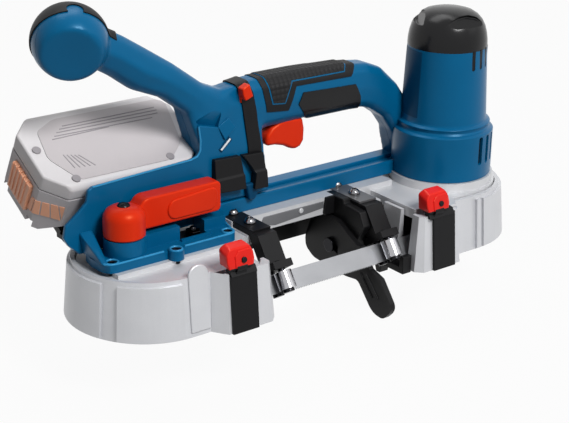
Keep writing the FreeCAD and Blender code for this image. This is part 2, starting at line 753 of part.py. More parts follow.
guard_y = RUN_Y
guard_in = d.band_thickness / 2 + 1.5
guard_span = (LEFT_WALL_X + 1, RIGHT_WALL_X - 1)
guard_low = d.band_height - d.band_width / 2 - 3
guard_out = guard_in + d.guard_wall
node("band_guard", cut(
    box(guard_span, (guard_y - guard_out, guard_y + guard_out), (guard_low, d.ledge_top)),
    box((guard_span[0] - 1, guard_span[1] + 1), (guard_y - guard_in, guard_y + guard_in),
        (guard_low - 1, d.band_height + d.band_width / 2 + 2))))

hook_y = BULGE_Y + 8
node("exit_guard", slab("YZ", [[
    (hook_y, 12), (hook_y + 4, 12), (hook_y + 4, 4), (hook_y + 26, 4), (hook_y + 30, -2), (hook_y + 28, -8),
    (hook_y + 24, -8), (hook_y + 22, -1), (hook_y, -1)]],
    RIGHT_WALL_X - 8, RIGHT_WALL_X - d.sheet_gap))


# Drive spindle, bearings and planetary gears

PLANETS = 3
ring_teeth = d.sun_teeth + 2 * d.planet_teeth
ORBIT = d.gear_module * (d.sun_teeth + d.planet_teeth) / 2
CARRIER_LOW = d.seat_top + 2
GEAR_LOW = CARRIER_LOW + d.carrier_thickness + d.running_gap
GEAR_HIGH = GEAR_LOW + d.gear_width
RING_RADIUS = d.gear_module * (ring_teeth / 2 + 1.25) + d.ring_wall
SEAT_LOW = WHEEL_HIGH + 3


def gear_profile(teeth, outward, turn):
    """The flat outline of a gear's teeth, slim enough to run with backlash."""
    size = d.gear_module.value
    pitch_radius = size * teeth / 2
    step = 2 * math.pi / teeth
    levels = [(-1.2, 0.30), (0.85, 0.13)]
    points = []
    for tooth in range(int(teeth)):
        middle = math.radians(turn) + tooth * step
        flank = [(middle - share * step, level) for level, share in levels]
        flank += [(middle + share * step, level) for level, share in reversed(levels)]
        for angle, level in flank:
            radius = pitch_radius + outward * level * size
            points.append(Vector(radius * math.cos(angle), radius * math.sin(angle), GEAR_LOW.value))
    return Part.Face(Part.makePolygon(points + points[:1]))


def make_gears():
    lift = Vector(0, 0, d.gear_width.value)
    pin_bore = d.planet_pin.value + d.fit_gap.value
    half_tooth = 180 / d.planet_teeth.value
    for number in range(PLANETS):
        teeth = gear_profile(d.planet_teeth.value, 1, half_tooth).extrude(lift)
        bore = Part.makeCylinder(pin_bore, d.gear_width.value, Vector(0, 0, GEAR_LOW.value))
        gear = teeth.cut(bore)
        gear.translate(Vector(ORBIT.value, 0, 0))
        gear.rotate(Vector(), Vector(0, 0, 1), number * 360 / PLANETS)
        solid_node(f"planet_gear_{number + 1}", gear)
    blank = Part.makeCylinder(RING_RADIUS.value, d.gear_width.value, Vector(0, 0, GEAR_LOW.value))
    solid_node("ring_gear", blank.cut(gear_profile(ring_teeth.value, -1, 0).extrude(lift)))
    return gear_profile(d.sun_teeth.value, 1, 0).extrude(lift)


sun = make_gears()
pins = []
for number in range(PLANETS):
    turn = as_size(number * 360 / PLANETS)
    pins.append(rod("Z", (ORBIT * cosine(turn), ORBIT * sine(turn), CARRIER_LOW), d.planet_pin,
                    d.carrier_thickness + d.gear_width))
spindle_head = 2.5
node("drive_spindle", fuse(
    rod("Z", (0, 0, WHEEL_LOW - spindle_head), d.spindle_radius + 4, spindle_head),
    rod("Z", (0, 0, WHEEL_LOW - spindle_head), d.spindle_radius, CARRIER_LOW - WHEEL_LOW + spindle_head),
    rod("Z", (0, 0, CARRIER_LOW), d.carrier_radius, d.carrier_thickness), *pins))
node("drive_bearings", group(*[
    tube("Z", (0, 0, level), d.bearing_radius, d.spindle_radius + d.fit_gap, d.bearing_width)
    for level in (SEAT_LOW, d.seat_top - d.bearing_width)
]))


# Motor: housing, gearbox plate, bearings, stator, rotor and cap

PLATE_HIGH = GEAR_HIGH + d.plate_thickness
BARREL_TOP = d.barrel_radius - d.barrel_taper
BORE = BARREL_TOP - d.motor_wall
gear_bore = RING_RADIUS + d.seat_gap
shaft_bore = d.motor_shaft + d.fit_gap
motor_bearing_width = d.plate_thickness - 1


def radial_slots(angles, radius, low, high):
    """Upright vent slots through a round wall."""
    slots = []
    for angle in angles:
        turn = as_size(angle)
        item = doc.addObject("Part::Box", "slot")
        bind(item, "Length", 12)
        bind(item, "Width", d.vent_width)
        bind(item, "Height", as_size(high) - low)
        item.Placement.Rotation = Rotation(Vector(0, 0, 1), angle)
        along, side = radius - 4, d.vent_width / 2
        place(item, along * cosine(turn) + side * sine(turn), along * sine(turn) - side * cosine(turn), low)
        slots.append(item)
    return slots


housing = turned([
    (gear_bore, d.seat_top), (d.collar_radius, d.seat_top), (d.collar_radius, d.collar_top - 3),
    (d.collar_radius - 2, d.collar_top), (d.barrel_radius + 1, d.collar_top),
    (d.barrel_radius, d.collar_top + 2), (BARREL_TOP, d.barrel_top), (BORE, d.barrel_top),
    (BORE, PLATE_HIGH), (gear_bore, PLATE_HIGH)])
node("motor_housing", cut(housing, *radial_slots(
    (-40, -27, -14, -1, 12), BARREL_TOP, d.barrel_top - 24, d.barrel_top - 6)))
node("gearbox_plate", turned([
    (shaft_bore + 1.5, GEAR_HIGH), (RING_RADIUS, GEAR_HIGH), (RING_RADIUS, PLATE_HIGH),
    (d.motor_bearing + d.seat_gap, PLATE_HIGH), (d.motor_bearing + d.seat_gap, GEAR_HIGH + 1),
    (shaft_bore + 1.5, GEAR_HIGH + 1)]))
node("motor_bearings", group(*[
    tube("Z", (0, 0, level), d.motor_bearing, shaft_bore, motor_bearing_width)
    for level in (GEAR_HIGH + 1, d.barrel_top - motor_bearing_width)
]))
stator_low = d.collar_top + 4
node("motor_stator",
     tube("Z", (0, 0, stator_low), BORE - d.seat_gap, d.rotor_radius + d.stator_gap, d.stator_length))
rotor_end = d.barrel_top - 0.5
rotor_shape = sun.fuse([
    Part.makeCylinder(d.motor_shaft.value, (rotor_end - GEAR_LOW).value, Vector(0, 0, GEAR_LOW.value)),
    Part.makeCylinder(d.rotor_radius.value, d.stator_length.value - 6, Vector(0, 0, stator_low.value + 3))])
solid_node("motor_rotor", rotor_shape)
cap_top = d.barrel_top + d.cap_height
skin = d.motor_wall
seat = d.motor_bearing + d.seat_gap
cap_boss = seat + 2.5
bearing_low = d.barrel_top - motor_bearing_width
node("motor_cap", turned([
    (0, cap_top), (BARREL_TOP * 0.35, cap_top - 0.4), (BARREL_TOP * 0.7, cap_top - 3.5),
    (BARREL_TOP * 0.9, cap_top - 10), (BARREL_TOP, cap_top - 21),
    (BARREL_TOP, d.barrel_top), (BORE, d.barrel_top), (BORE, cap_top - 21),
    (BARREL_TOP * 0.9 - skin, cap_top - 11), (cap_boss, cap_top - 7), (cap_boss, bearing_low),
    (seat, bearing_low), (seat, d.barrel_top), (0, d.barrel_top)]))


# Blue handle body: two halves that meet at the split plane

SPINE_LOW = d.ledge_top
KNOB_X = -d.knob_reach
KNOB = (KNOB_X, d.shell_split, d.knob_height)
HANDLE_LEFT = as_size(-149)
HANDLE_RIGHT = as_size(-58)
TRIGGER_LEFT = HANDLE_LEFT + 4
TRIGGER_RIGHT = TRIGGER_LEFT + 29.5
arm_rise = d.knob_height - d.wall_top
shell_outline = [
    (-295, SPINE_LOW), (-308, SPINE_LOW + 11), (-290, d.wall_top), (-212, d.wall_top + 3),
    (-204, d.wall_top + 10), (-210, d.wall_top + 0.36 * arm_rise), (-222, d.wall_top + 0.5 * arm_rise),
    (-245, d.wall_top + 0.55 * arm_rise), (KNOB_X + 17, d.knob_height - 19),
    (KNOB_X + 8, d.knob_height + 2), (KNOB_X + 28, d.knob_height + 5), (-238, d.wall_top + 0.88 * arm_rise),
    (-220.5, d.wall_top + 0.755 * arm_rise), (-197, d.grip_top + 5), (-183, d.grip_top - 0.5),
    (-160, d.grip_top + 2), (HANDLE_RIGHT - 20, d.grip_top), (HANDLE_RIGHT, d.grip_top - 2),
    (-45, d.grip_top - 7), (-28, d.grip_top - 22), (-18, d.grip_low - 1), (-18, SPINE_LOW)]
loop_outline = [
    (HANDLE_LEFT + 4, d.spine_top), (HANDLE_LEFT, d.grip_low - 14), (HANDLE_LEFT + 4, d.grip_low),
    (HANDLE_RIGHT, d.grip_low), (-43, d.grip_low - 12), (-24, d.spine_top)]

trigger_half = d.trigger_width / 2
button_x = as_size(-170)
button_z = d.grip_top - 3
pack_tilt = d.pack_tilt
label_edge = (d.pack_back, d.wall_top + 1)
PACK_Y = label_edge[0] + d.pack_height * sine(pack_tilt)
PACK_Z = label_edge[1] - d.pack_height * cosine(pack_tilt)
PACK_RIGHT = -d.pack_inner
PACK_LEFT = PACK_RIGHT - d.pack_length
housing_screw_places = [
    (-283, SPINE_LOW + 10), (-205, SPINE_LOW + 10), (-152, SPINE_LOW + 7), (-62, SPINE_LOW + 5),
    (-36, d.grip_low - 8), (-180, d.grip_top - 12), (-236, d.wall_top + 0.72 * arm_rise)]


def tilt_pack(item):
    """Puts a piece that is drawn upright into the battery's leaning place."""
    item.Placement.Rotation = Rotation(Vector(1, 0, 0), pack_tilt.value)
    bind(item, "Placement.Rotation.Angle", pack_tilt)
    bind(item, "Placement.Base.y", PACK_Y)
    bind(item, "Placement.Base.z", PACK_Z)
    return item


def shell_cuts():
    """What both halves make room for: the motor, the guides' screws, the battery and the controls."""
    gap = d.running_gap
    tools = [rod("Z", (0, 0, 0), d.seat_radius + gap, d.seat_top + gap)]
    tools.append(rod("Z", (0, 0, 0), d.collar_radius + gap, d.collar_top + 1))
    tools.append(rod("Z", (0, 0, d.collar_top), d.barrel_radius + gap + 1, d.barrel_top - d.collar_top))
    for x in GUIDES.values():
        room_half = d.guide_width / 2 + 1
        tools.append(box((x - room_half, x + room_half), (d.shell_front - 1, d.guide_back + 1),
                         (0, BAR_HIGH + 8)))
    room = rectangle((-gap, d.pack_depth + 20), (-d.dock_thickness - 2 * gap, d.pack_height + gap))
    tools.append(tilt_pack(slab("YZ", [room], PACK_LEFT - 60, PACK_RIGHT + gap)))
    trigger_room = trigger_half + gap
    tools.append(box((TRIGGER_LEFT - gap, TRIGGER_RIGHT + gap),
                     (d.shell_split - trigger_room, d.shell_split + trigger_room),
                     (d.grip_low - 21, d.grip_low + 7 + d.trigger_travel)))
    tools.append(box((-112, -70), (d.shell_split - 8, d.shell_split + 8), (d.grip_low + 6, d.grip_top - 9)))
    tools.append(box((button_x - d.button_width / 2 - gap, button_x + d.button_width / 2 + gap), (0, 60),
                     (button_z - d.button_length / 2 - gap, button_z + d.button_length / 2 + gap)))
    tools.append(box((-192, -160), (d.shell_split - 9, d.shell_split + 9), (SPINE_LOW + 12, d.grip_low)))
    for x, z in housing_screw_places:
        tools.append(rod("Y", (x, d.shell_front - 1, z), d.screw_radius + d.seat_gap, 18))
        tools.append(rod("Y", (x, d.shell_front - 1, z), d.screw_radius + 1.8, 4))
    return tools


def make_shell(label, low, high, outer):
    body = slab("XZ", [shell_outline], low, high)
    round_edges(body, d.shell_round, lies_at("Y", outer))
    pocket(body, "XZ", [loop_outline], low - 1, high + 1)
    reach = 2 * d.knob_radius
    near = low - reach if outer is low else low
    far = high if outer is low else high + reach
    half_space = box((KNOB_X - reach, KNOB_X + reach), (near, far),
                     (d.knob_height - reach, d.knob_height + reach))
    knob = common(ball(KNOB, d.knob_radius), half_space)
    node(label, cut(fuse(body, knob), *shell_cuts()))


make_shell("housing_front", d.shell_front, d.shell_split, d.shell_front)
make_shell("housing_rear", d.shell_split, SHELL_BACK, SHELL_BACK)
node("housing_screws", group(*[
    fuse(rod("Y", (x, d.shell_front + 3 - d.sheet_gap - 2, z), d.screw_radius + 1.5, 2),
         rod("Y", (x, d.shell_front + 3 - d.sheet_gap, z), d.screw_radius, 13))
    for x, z in housing_screw_places
]))

cap_half = rod("Z", KNOB, 2 * d.knob_radius, 2 * d.knob_radius)
cap_half.Placement.Rotation = Rotation(Vector(0, 0, 1), Vector(0.336, 0.819, 0.464))
cap_inside = d.knob_radius + d.sheet_gap
cap_shell = cut(ball(KNOB, cap_inside + d.cap_skin), ball(KNOB, cap_inside))
arm_clear = slab("XZ", [shell_outline], d.shell_front - 1, SHELL_BACK + 1)
node("knob_cap", cut(common(cap_shell, cap_half), arm_clear))


# Grips, band and controls on the handle

def sleeve(label, outline, skin):
    """A soft cover that lies on the faces of the handle inside an outline."""
    outer = slab("XZ", [outline], d.shell_front - skin, SHELL_BACK + skin)
    round_edges(outer, skin * 0.6, runs_along("X"))
    core = slab("XZ", [shell_outline], d.shell_front - d.sheet_gap, SHELL_BACK + d.sheet_gap)
    pocket(core, "XZ", [loop_outline], d.shell_front - 1, SHELL_BACK + 1)
    return node(label, cut(outer, core))


top_edge = d.grip_top + 3
sleeve("handle_grip_top", [
    (-157, top_edge), (-157, d.grip_top - 8), (-147, d.grip_top - 22), (-138, d.grip_top - 21),
    (-130, d.grip_top - 11), (-78, d.grip_top - 10), (-78, top_edge)], d.grip_bulge)
sleeve("handle_grip_under", [
    (-121, d.grip_low + 14), (-112, d.grip_low + 17), (-71, d.grip_low + 15), (-70, d.grip_low - 2),
    (-114, d.grip_low - 2), (-114, d.grip_low + 6)], d.grip_bulge)
band_outline = [
    (-178, d.grip_top + 4), (-167, d.grip_top + 4), (-156, d.wall_top + 2), (-167, d.wall_top + 2)]
band_piece = slab("XZ", [band_outline], d.shell_front - d.band_skin, SHELL_BACK + d.band_skin)
band_core = slab("XZ", [shell_outline], d.shell_front - d.sheet_gap, SHELL_BACK + d.sheet_gap)
button_half = d.button_width / 2
button_rise_half = d.button_length / 2
hole_half = button_half + d.running_gap
hole_rise = button_rise_half + d.running_gap
button_hole = box((button_x - hole_half, button_x + hole_half), (0, 60),
                  (button_z - hole_rise, button_z + hole_rise))
node("switch_band", cut(band_piece, band_core, button_hole))

button_proud = 1.5
button_front = d.shell_front - d.band_skin - d.button_travel - button_proud
button_back = SHELL_BACK + d.band_skin + button_proud
node("lock_button", box((button_x - button_half, button_x + button_half), (button_front, button_back),
                        (button_z - button_rise_half, button_z + button_rise_half)))

trigger = slab("XZ", [[
    (TRIGGER_LEFT, d.grip_low + 6), (TRIGGER_RIGHT, d.grip_low + 6), (TRIGGER_RIGHT, d.grip_low - 1),
    (TRIGGER_RIGHT - 1.5, d.grip_low - 13), (TRIGGER_RIGHT - 7, d.grip_low - 19.5),
    (TRIGGER_RIGHT - 12, d.grip_low - 16), (TRIGGER_RIGHT - 19, d.grip_low - 11),
    (TRIGGER_LEFT, d.grip_low - 10.5)]],
    d.shell_split - trigger_half, d.shell_split + trigger_half)
round_edges(trigger, 2, runs_along("Y"))
node("trigger", trigger)

switch_half = 7.5
node("switch_unit", box((-111, -72), (d.shell_split - switch_half, d.shell_split + switch_half),
                        (d.grip_low + 6.2, d.grip_top - 10)))
node("control_board", box((-191, -161), (d.shell_split - 8.5, d.shell_split + 8.5),
                          (SPINE_LOW + 12.2, SPINE_LOW + 20)))
node("led_lens", slab("XZ", [[(-190, d.wall_top + 2), (-186, d.wall_top + 2), (-179, d.wall_top + 12),
                              (-183, d.wall_top + 12)]], d.shell_front - 1, d.shell_front - d.sheet_gap))
clip_low = SPINE_LOW + 15
clip_depth = 7
clip_height = 28
clip = slab("XZ", [rectangle((-195, -152), (clip_low, clip_low + clip_height))],
            d.shell_front - clip_depth, d.shell_front - d.sheet_gap)
pocket(clip, "XZ", [rectangle((-168, -162), (clip_low - 1, clip_low + 20))],
       d.shell_front - clip_depth - 1, d.shell_front - 2)
node("tool_clip", clip)


# Tension plate, lever and its shaft

PLATE_LOW = LEFT_DECK_TOP
plate_left = LEVER_X - 18
plate_right = LEVER_X + d.lever_length + 8
plate_top = PLATE_LOW + d.plate_rim
recess_floor = PLATE_LOW + d.plate_floor
bench_top = d.lever_low - d.bench_gap
boss_top = d.lever_low - d.running_gap
front = -d.plate_front
back = d.shell_front
ledge = d.ledge_front
rear = back - 1
bench_y = -d.bench_front
recess_left = LEVER_X + 39.5
recess_right = recess_left + d.recess_length
plate_body = slab("XY", [[
    (plate_left - 3, rear), (plate_left - 5, ledge), (plate_left - 4, front + 6),
    (plate_left - 1, front + 1.5), (plate_left + 3, front), (plate_right - 8, front),
    (plate_right - 5, front + 1.5), (plate_right + 2, rear)]], PLATE_LOW, plate_top)
long_bench = slab("XY", [[
    (LEVER_X - 8, rear), (LEVER_X, bench_y), (recess_left, bench_y), (recess_left, rear)]],
    PLATE_LOW, bench_top)
short_bench = slab("XY", [[
    (recess_right, LEVER_Y), (plate_right - 3, LEVER_Y), (plate_right + 1, rear), (recess_right, rear)]],
    PLATE_LOW, bench_top - d.bench_gap)
recess_lip = box((recess_left - 1, recess_right + 1), (bench_y - 4, bench_y - 2),
                 (PLATE_LOW, plate_top + d.lip_rise))
plate_tools = [rod("Z", (LEVER_X, LEVER_Y, 0), d.lever_shaft + d.fit_gap, boss_top + 5)]
for x, y in plate_screw_places():
    plate_tools.append(rod("Z", (x, y, PLATE_LOW - 1), d.bolt_radius + d.seat_gap, 20))
plate_tools.append(box((recess_left, recess_right), (bench_y - 2, rear), (recess_floor, bench_top)))
screw_boss = rod("Z", (*plate_screw_places()[2], PLATE_LOW), d.plate_screw + 1.5, d.plate_rim + 1)
lever_boss = rod("Z", (LEVER_X, LEVER_Y, PLATE_LOW), d.pivot_boss, boss_top - PLATE_LOW)
node("tension_plate", cut(
    fuse(plate_body, long_bench, short_bench, recess_lip, lever_boss, screw_boss), *plate_tools))


def plate_screws():
    screws = []
    for number, (x, y) in enumerate(plate_screw_places()):
        top = (plate_top, plate_top, plate_top + 1, recess_floor)[number]
        screws.append(fuse(rod("Z", (x, y, top), d.plate_screw, 2.4),
                           rod("Z", (x, y, DECK_LOW + 1), d.bolt_radius, top - DECK_LOW)))
    return screws


node("plate_screws", group(*plate_screws()))
arm_half = d.lever_width / 2
arm_end = LEVER_X + d.lever_length
arm_high = d.lever_high + d.lever_rise
arm_low = d.lever_low + 1
lever_arm = slab("XZ", [[(LEVER_X, arm_low), (arm_end - 3, arm_low), (arm_end, arm_low + 4),
                         (arm_end, arm_high - 6), (arm_end - 6, arm_high), (LEVER_X + 18, arm_high),
                         (LEVER_X + 11, d.lever_high - 4), (LEVER_X, d.lever_high - 4)]],
                 LEVER_Y - arm_half + 4, LEVER_Y + arm_half + 4)
round_edges(lever_arm, 2, lies_at("Y", LEVER_Y - arm_half + 4))
lever_head = turned([
    (0, d.lever_low), (d.lever_boss - 1, d.lever_low), (d.lever_boss, d.lever_low + 1),
    (d.lever_boss, d.lever_high - 6), (d.lever_boss - 1.5, d.lever_high - 3),
    (d.lever_boss - 5, d.lever_high - 0.5), (d.lever_boss - 7, d.lever_high), (0, d.lever_high)],
    LEVER_X, LEVER_Y)
node("tension_lever", cut(
    fuse(lever_arm, lever_head),
    rod("Z", (LEVER_X, LEVER_Y, 0), d.lever_shaft + d.seat_gap, d.lever_high + 1)))
cam_low = CARRIAGE_LOW + 1
node("lever_shaft", fuse(
    rod("Z", (LEVER_X, LEVER_Y, cam_low), d.lever_shaft, d.lever_high - cam_low + 0.5),
    rod("Z", (CAM_X, LEVER_Y, cam_low), d.cam_radius, d.carriage_thickness - 1.5),
    rod("Z", (LEVER_X, LEVER_Y, d.lever_high + 0.1), d.lever_shaft + 2, 2)))


# Battery pack, its release button and the dock that carries it

def pack_piece(outline, low, high):
    return tilt_pack(slab("YZ", [outline], low, high))


depth, height, nip = d.pack_depth, d.pack_height, d.pack_cut
lid_low = height - d.lid_height
groove = d.rail_height + d.running_gap
rail_half = 3
rail_places = (depth * 0.25, depth * 0.75)
case = pack_piece([(nip, 0), (depth - nip, 0), (depth, nip), (depth, lid_low), (0, lid_low), (0, nip)],
                  PACK_LEFT, PACK_RIGHT)
gap = d.running_gap
groove_half = rail_half + gap
case_tools = [pack_piece(rectangle((y - groove_half, y + groove_half), (-1, groove)),
                         PACK_LEFT - 1, PACK_RIGHT + 1) for y in rail_places]
button_span = (depth / 2 - d.pack_button / 2, depth / 2 + d.pack_button / 2)
button_rise = (groove + 3, lid_low - 4)
button_inner = PACK_LEFT + 12
well = rectangle((button_span[0] - gap, button_span[1] + gap), (button_rise[0] - gap, button_rise[1] + gap))
case_tools.append(pack_piece(well, PACK_LEFT - 1, button_inner))
nip_x = d.pack_corner
lid_bevel = 3


def pack_plan(low, high):
    """The pack's plan with its four corners cut off, between two of its heights."""
    near, far = nip_x, depth - nip_x
    left, right = PACK_LEFT + nip_x, PACK_RIGHT - nip_x
    plan = [(left, 0), (right, 0), (PACK_RIGHT, near), (PACK_RIGHT, far), (right, depth), (left, depth),
            (PACK_LEFT, far), (PACK_LEFT, near)]
    return tilt_pack(slab("XY", [plan], low, high))


node("battery_case", cut(common(case, pack_plan(0, lid_low)), *case_tools))
lid = pack_piece([(0, lid_low), (depth, lid_low), (depth, height - lid_bevel), (depth - lid_bevel, height),
                  (lid_bevel, height), (0, height - lid_bevel)], PACK_LEFT, PACK_RIGHT)
node("battery_lid", common(lid, pack_plan(lid_low, height)))
node("battery_button", pack_piece(rectangle(button_span, button_rise), PACK_LEFT - 2.5,
                                  button_inner - d.button_travel - gap))
dock_left = PACK_LEFT + 18
dock_plate = pack_piece(rectangle((4, depth - nip), (-d.dock_thickness - gap, -gap)), dock_left, PACK_RIGHT)
dock_rails = [
    pack_piece(rectangle((y - rail_half, y + rail_half), (-gap - 1, d.rail_height)), dock_left, PACK_RIGHT)
    for y in rail_places]
foot_top = PACK_Z - 0.5
dock_foot = box((dock_left, PACK_RIGHT), (SHELL_BACK, PACK_Y + 9), (SPINE_LOW, foot_top))
node("battery_dock", fuse(dock_plate, dock_foot, *dock_rails))


# Checks and files

doc.recompute()
failed = [item.Label for item in doc.Objects if "Invalid" in item.State or "Error" in item.State]
for label, item in NODES.items():
    if item.Shape.isNull() or not item.Shape.isValid() or not item.Shape.Solids:
        failed.append(label)
if failed:
    raise RuntimeError("failed: " + ", ".join(failed))
for label, item in NODES.items():
    item.Shape.exportStep(f"parts/{label}.step")
print(len(NODES), "nodes", sum(len(item.Shape.Solids) for item in NODES.values()), "solids")
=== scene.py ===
"""Looks of a portable band saw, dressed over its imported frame."""
import math

import bmesh
import bpy
from mathutils import Matrix, Vector

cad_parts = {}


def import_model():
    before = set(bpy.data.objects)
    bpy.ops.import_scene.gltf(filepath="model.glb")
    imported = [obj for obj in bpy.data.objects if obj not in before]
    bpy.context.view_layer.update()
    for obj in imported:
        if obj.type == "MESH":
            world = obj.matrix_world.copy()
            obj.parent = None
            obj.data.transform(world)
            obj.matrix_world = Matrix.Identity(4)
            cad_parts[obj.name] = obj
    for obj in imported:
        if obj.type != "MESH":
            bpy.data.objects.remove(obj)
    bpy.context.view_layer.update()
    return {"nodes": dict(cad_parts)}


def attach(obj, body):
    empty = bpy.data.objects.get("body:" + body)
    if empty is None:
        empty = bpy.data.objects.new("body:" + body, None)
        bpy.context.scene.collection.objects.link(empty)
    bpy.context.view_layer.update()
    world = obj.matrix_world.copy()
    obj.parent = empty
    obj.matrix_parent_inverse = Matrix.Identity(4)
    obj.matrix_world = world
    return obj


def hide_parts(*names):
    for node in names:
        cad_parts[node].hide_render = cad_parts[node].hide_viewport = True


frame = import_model()
NODES = frame["nodes"]
# A millimetre in metres, and a metre in millimetres
MM, METRE = 0.001, 1000
# Faces and parting plane of the body, and the wheels' axes, in millimetres
FRONT, PARTING, REAR = 14.5, 26.5, 38.5
PARTING_GAP = 0.15
DRIVE_X, IDLER_X, WHEEL_Y = -3.1, -252.3, 5.5


# Shader helpers
class Link:
    """A socket of a finish; arithmetic on it adds Math nodes."""

    def __init__(self, finish, socket):
        self.finish = finish
        self.socket = socket

    def math(self, operation, first, second):
        return self.finish.node("ShaderNodeMath", {"operation": operation}, {0: first, 1: second})

    def __add__(self, other):
        return self.math("ADD", self, other)

    def __radd__(self, other):
        return self.math("ADD", other, self)

    def __sub__(self, other):
        return self.math("SUBTRACT", self, other)

    def __rsub__(self, other):
        return self.math("SUBTRACT", other, self)

    def __mul__(self, other):
        return self.math("MULTIPLY", self, other)

    def __rmul__(self, other):
        return self.math("MULTIPLY", other, self)


class Finish:
    """A material or a sky in the making: its nodes and the shader they feed."""

    def __init__(self, owner, shader, **constants):
        owner.use_nodes = True
        self.owner = owner
        self.tree = owner.node_tree
        self.shader = self.tree.nodes[shader]
        self.show(**constants)

    def feed(self, socket, value):
        if isinstance(value, Link):
            self.tree.links.new(value.socket, socket)
        else:
            socket.default_value = value

    def node(self, kind, settings=None, sockets=None, output=0):
        made = self.tree.nodes.new(kind)
        for name, value in (settings or {}).items():
            setattr(made, name, value)
        for key, value in (sockets or {}).items():
            self.feed(made.inputs[key], value)
        return Link(self, made.outputs[output])

    def show(self, **sockets):
        for name, value in sockets.items():
            label = name.replace("_", " ").title().replace("Ior", "IOR")
            self.feed(self.shader.inputs[label], value)

    def place(self, stretch=(1, 1, 1)):
        spot = self.node("ShaderNodeTexCoord", output="Object")
        return self.node("ShaderNodeMapping", {}, {"Vector": spot, "Scale": stretch})

    def noise(self, scale, detail, stretch=(1, 1, 1)):
        sockets = {"Vector": self.place(stretch), "Scale": scale, "Detail": detail}
        return self.node("ShaderNodeTexNoise", {}, sockets, "Fac")

    def dots(self, scale):
        sockets = {"Vector": self.place(), "Scale": scale, "Randomness": 0.0}
        return self.node("ShaderNodeTexVoronoi", {}, sockets, "Distance")

    def blend(self, factor, first, second):
        sockets = {0: factor, 6: first, 7: second}
        return self.node("ShaderNodeMix", {"data_type": "RGBA"}, sockets, 2)

    def seen(self):
        """1 for what the eye sees straight, mirrored or through glass, and 0 for other light."""
        rays = ("Is Camera Ray", "Is Glossy Ray", "Is Transmission Ray")
        straight, mirrored, through = (self.node("ShaderNodeLightPath", output=ray)
                                       for ray in rays)
        return straight.math("MAXIMUM", straight.math("MAXIMUM", straight, mirrored), through)

    def relief(self, height, depth):
        sockets = {"Strength": 1.0, "Distance": depth * MM, "Height": height}
        self.show(normal=self.node("ShaderNodeBump", {}, sockets))


def tone(red, green, blue):
    """A screen colour, 0 to 255, as the light it stands for."""
    def light(part):
        part /= 255
        return part / 12.92 if part <= 0.04045 else ((part + 0.055) / 1.055) ** 2.4
    return (light(red), light(green), light(blue), 1.0)


def paint(name, **constants):
    """A new material, ready for its nodes."""
    return Finish(bpy.data.materials.new(name), "Principled BSDF", **constants)


# How fine each pattern is, in repeats to the metre
SLOW_TONE, SPARK_PEBBLE = 38.0, 2600.0
CLOUDING, FLAKE = 55.0, 3800.0
MACHINING, SMUDGES = 900.0, 60.0
STUDS, DUST = 270.0, 140.0
# How deep the relief of each pattern is, in millimetres
FLAKE_RELIEF, MACHINING_RELIEF, STUD_RELIEF = 0.015, 0.006, 0.5


def moulding(name, base, lit, roughness, pebble=0.02, gloss=0.4, tint=(1, 1, 1), coat=0.0):
    """Moulded plastic: a fine spark pebble, slow changes of tone, uneven polish."""
    finish = paint(name, coat_weight=coat, coat_roughness=0.25, specular_ior_level=gloss,
                   specular_tint=(*tint, 1))
    slow = finish.noise(SLOW_TONE, 3.0)
    fine = finish.noise(SPARK_PEBBLE, 1.0)
    finish.show(base_color=finish.blend(slow * 0.7 + fine * 0.3, base, lit))
    finish.show(roughness=roughness - 0.05 + 0.1 * slow)
    finish.relief(fine, pebble)
    return finish.owner


def casting(name, base, lit, roughness, metallic):
    """Painted light alloy: a satin flake with faint mottling."""
    finish = paint(name, metallic=metallic)
    cloud = finish.noise(CLOUDING, 4.0)
    flake = finish.noise(FLAKE, 1.0)
    finish.show(base_color=finish.blend(cloud * 0.5 + flake * 0.5, base, lit))
    finish.show(roughness=roughness + 0.14 * (flake - 0.5))
    finish.relief(flake * 0.6 + cloud * 0.4, FLAKE_RELIEF)
    return finish.owner


def worked_steel(name, base, lit, roughness, grain):
    """Bare steel with the lines of its machining, drawn out along one axis."""
    finish = paint(name, metallic=1.0)
    lines = finish.noise(MACHINING, 3.0, grain)
    smudge = finish.noise(SMUDGES, 2.0)
    finish.show(base_color=finish.blend(lines * 0.6 + smudge * 0.4, base, lit))
    finish.show(roughness=roughness + 0.12 * (smudge - 0.5) + 0.1 * (lines - 0.5))
    finish.relief(lines, MACHINING_RELIEF)
    return finish.owner


def dotted_rubber(name, base, lit):
    """Soft grip rubber set with rows of small round studs."""
    finish = paint(name, specular_ior_level=0.25)
    studs = 1.0 - 2.2 * finish.dots(STUDS)
    dust = finish.noise(DUST, 3.0)
    finish.show(base_color=finish.blend(dust * 0.6 + studs * 0.4, base, lit))
    finish.show(roughness=0.62 + 0.12 * dust - 0.12 * studs)
    finish.relief(studs, STUD_RELIEF)
    return finish.owner


# Finishes: name, two tones, roughness, then pebble, metal share or grain
SKY_TINT = (0.35, 0.72, 1.0)
RED_TINT = (1.0, 0.35, 0.15)
BLUE = moulding("blue_moulding", tone(0, 78, 118), tone(3, 92, 136), 0.3, 0.016,
                gloss=0.27, tint=SKY_TINT)
# A darker blue for insets: partly the parts' own tone, partly painted shade
BLUE_DEEP_AND_SHADE = moulding("blue_inset_and_painted_shade", tone(0, 48, 78), tone(0, 58, 92), 0.45, 0.018,
                     gloss=0.25, tint=SKY_TINT)
# A lighter blue that paints highlights along edges and rims
BLUE_PAINTED_HIGHLIGHT = moulding("blue_painted_highlight", tone(34, 122, 170), tone(54, 140, 186), 0.35, 0.012,
                     gloss=0.35, tint=SKY_TINT)
BLACK = moulding("black_moulding", tone(10, 10, 11), tone(20, 20, 22), 0.42, gloss=0.16)
SOFT_BLACK = moulding("soft_black", tone(10, 10, 11), tone(19, 19, 21), 0.55, 0.03, gloss=0.2)
CAP_BLACK = moulding("cap_black", tone(10, 10, 11), tone(19, 19, 21), 0.22, 0.014, gloss=0.24)
STUDDED = dotted_rubber("studded_rubber", tone(11, 11, 12), tone(30, 30, 32))
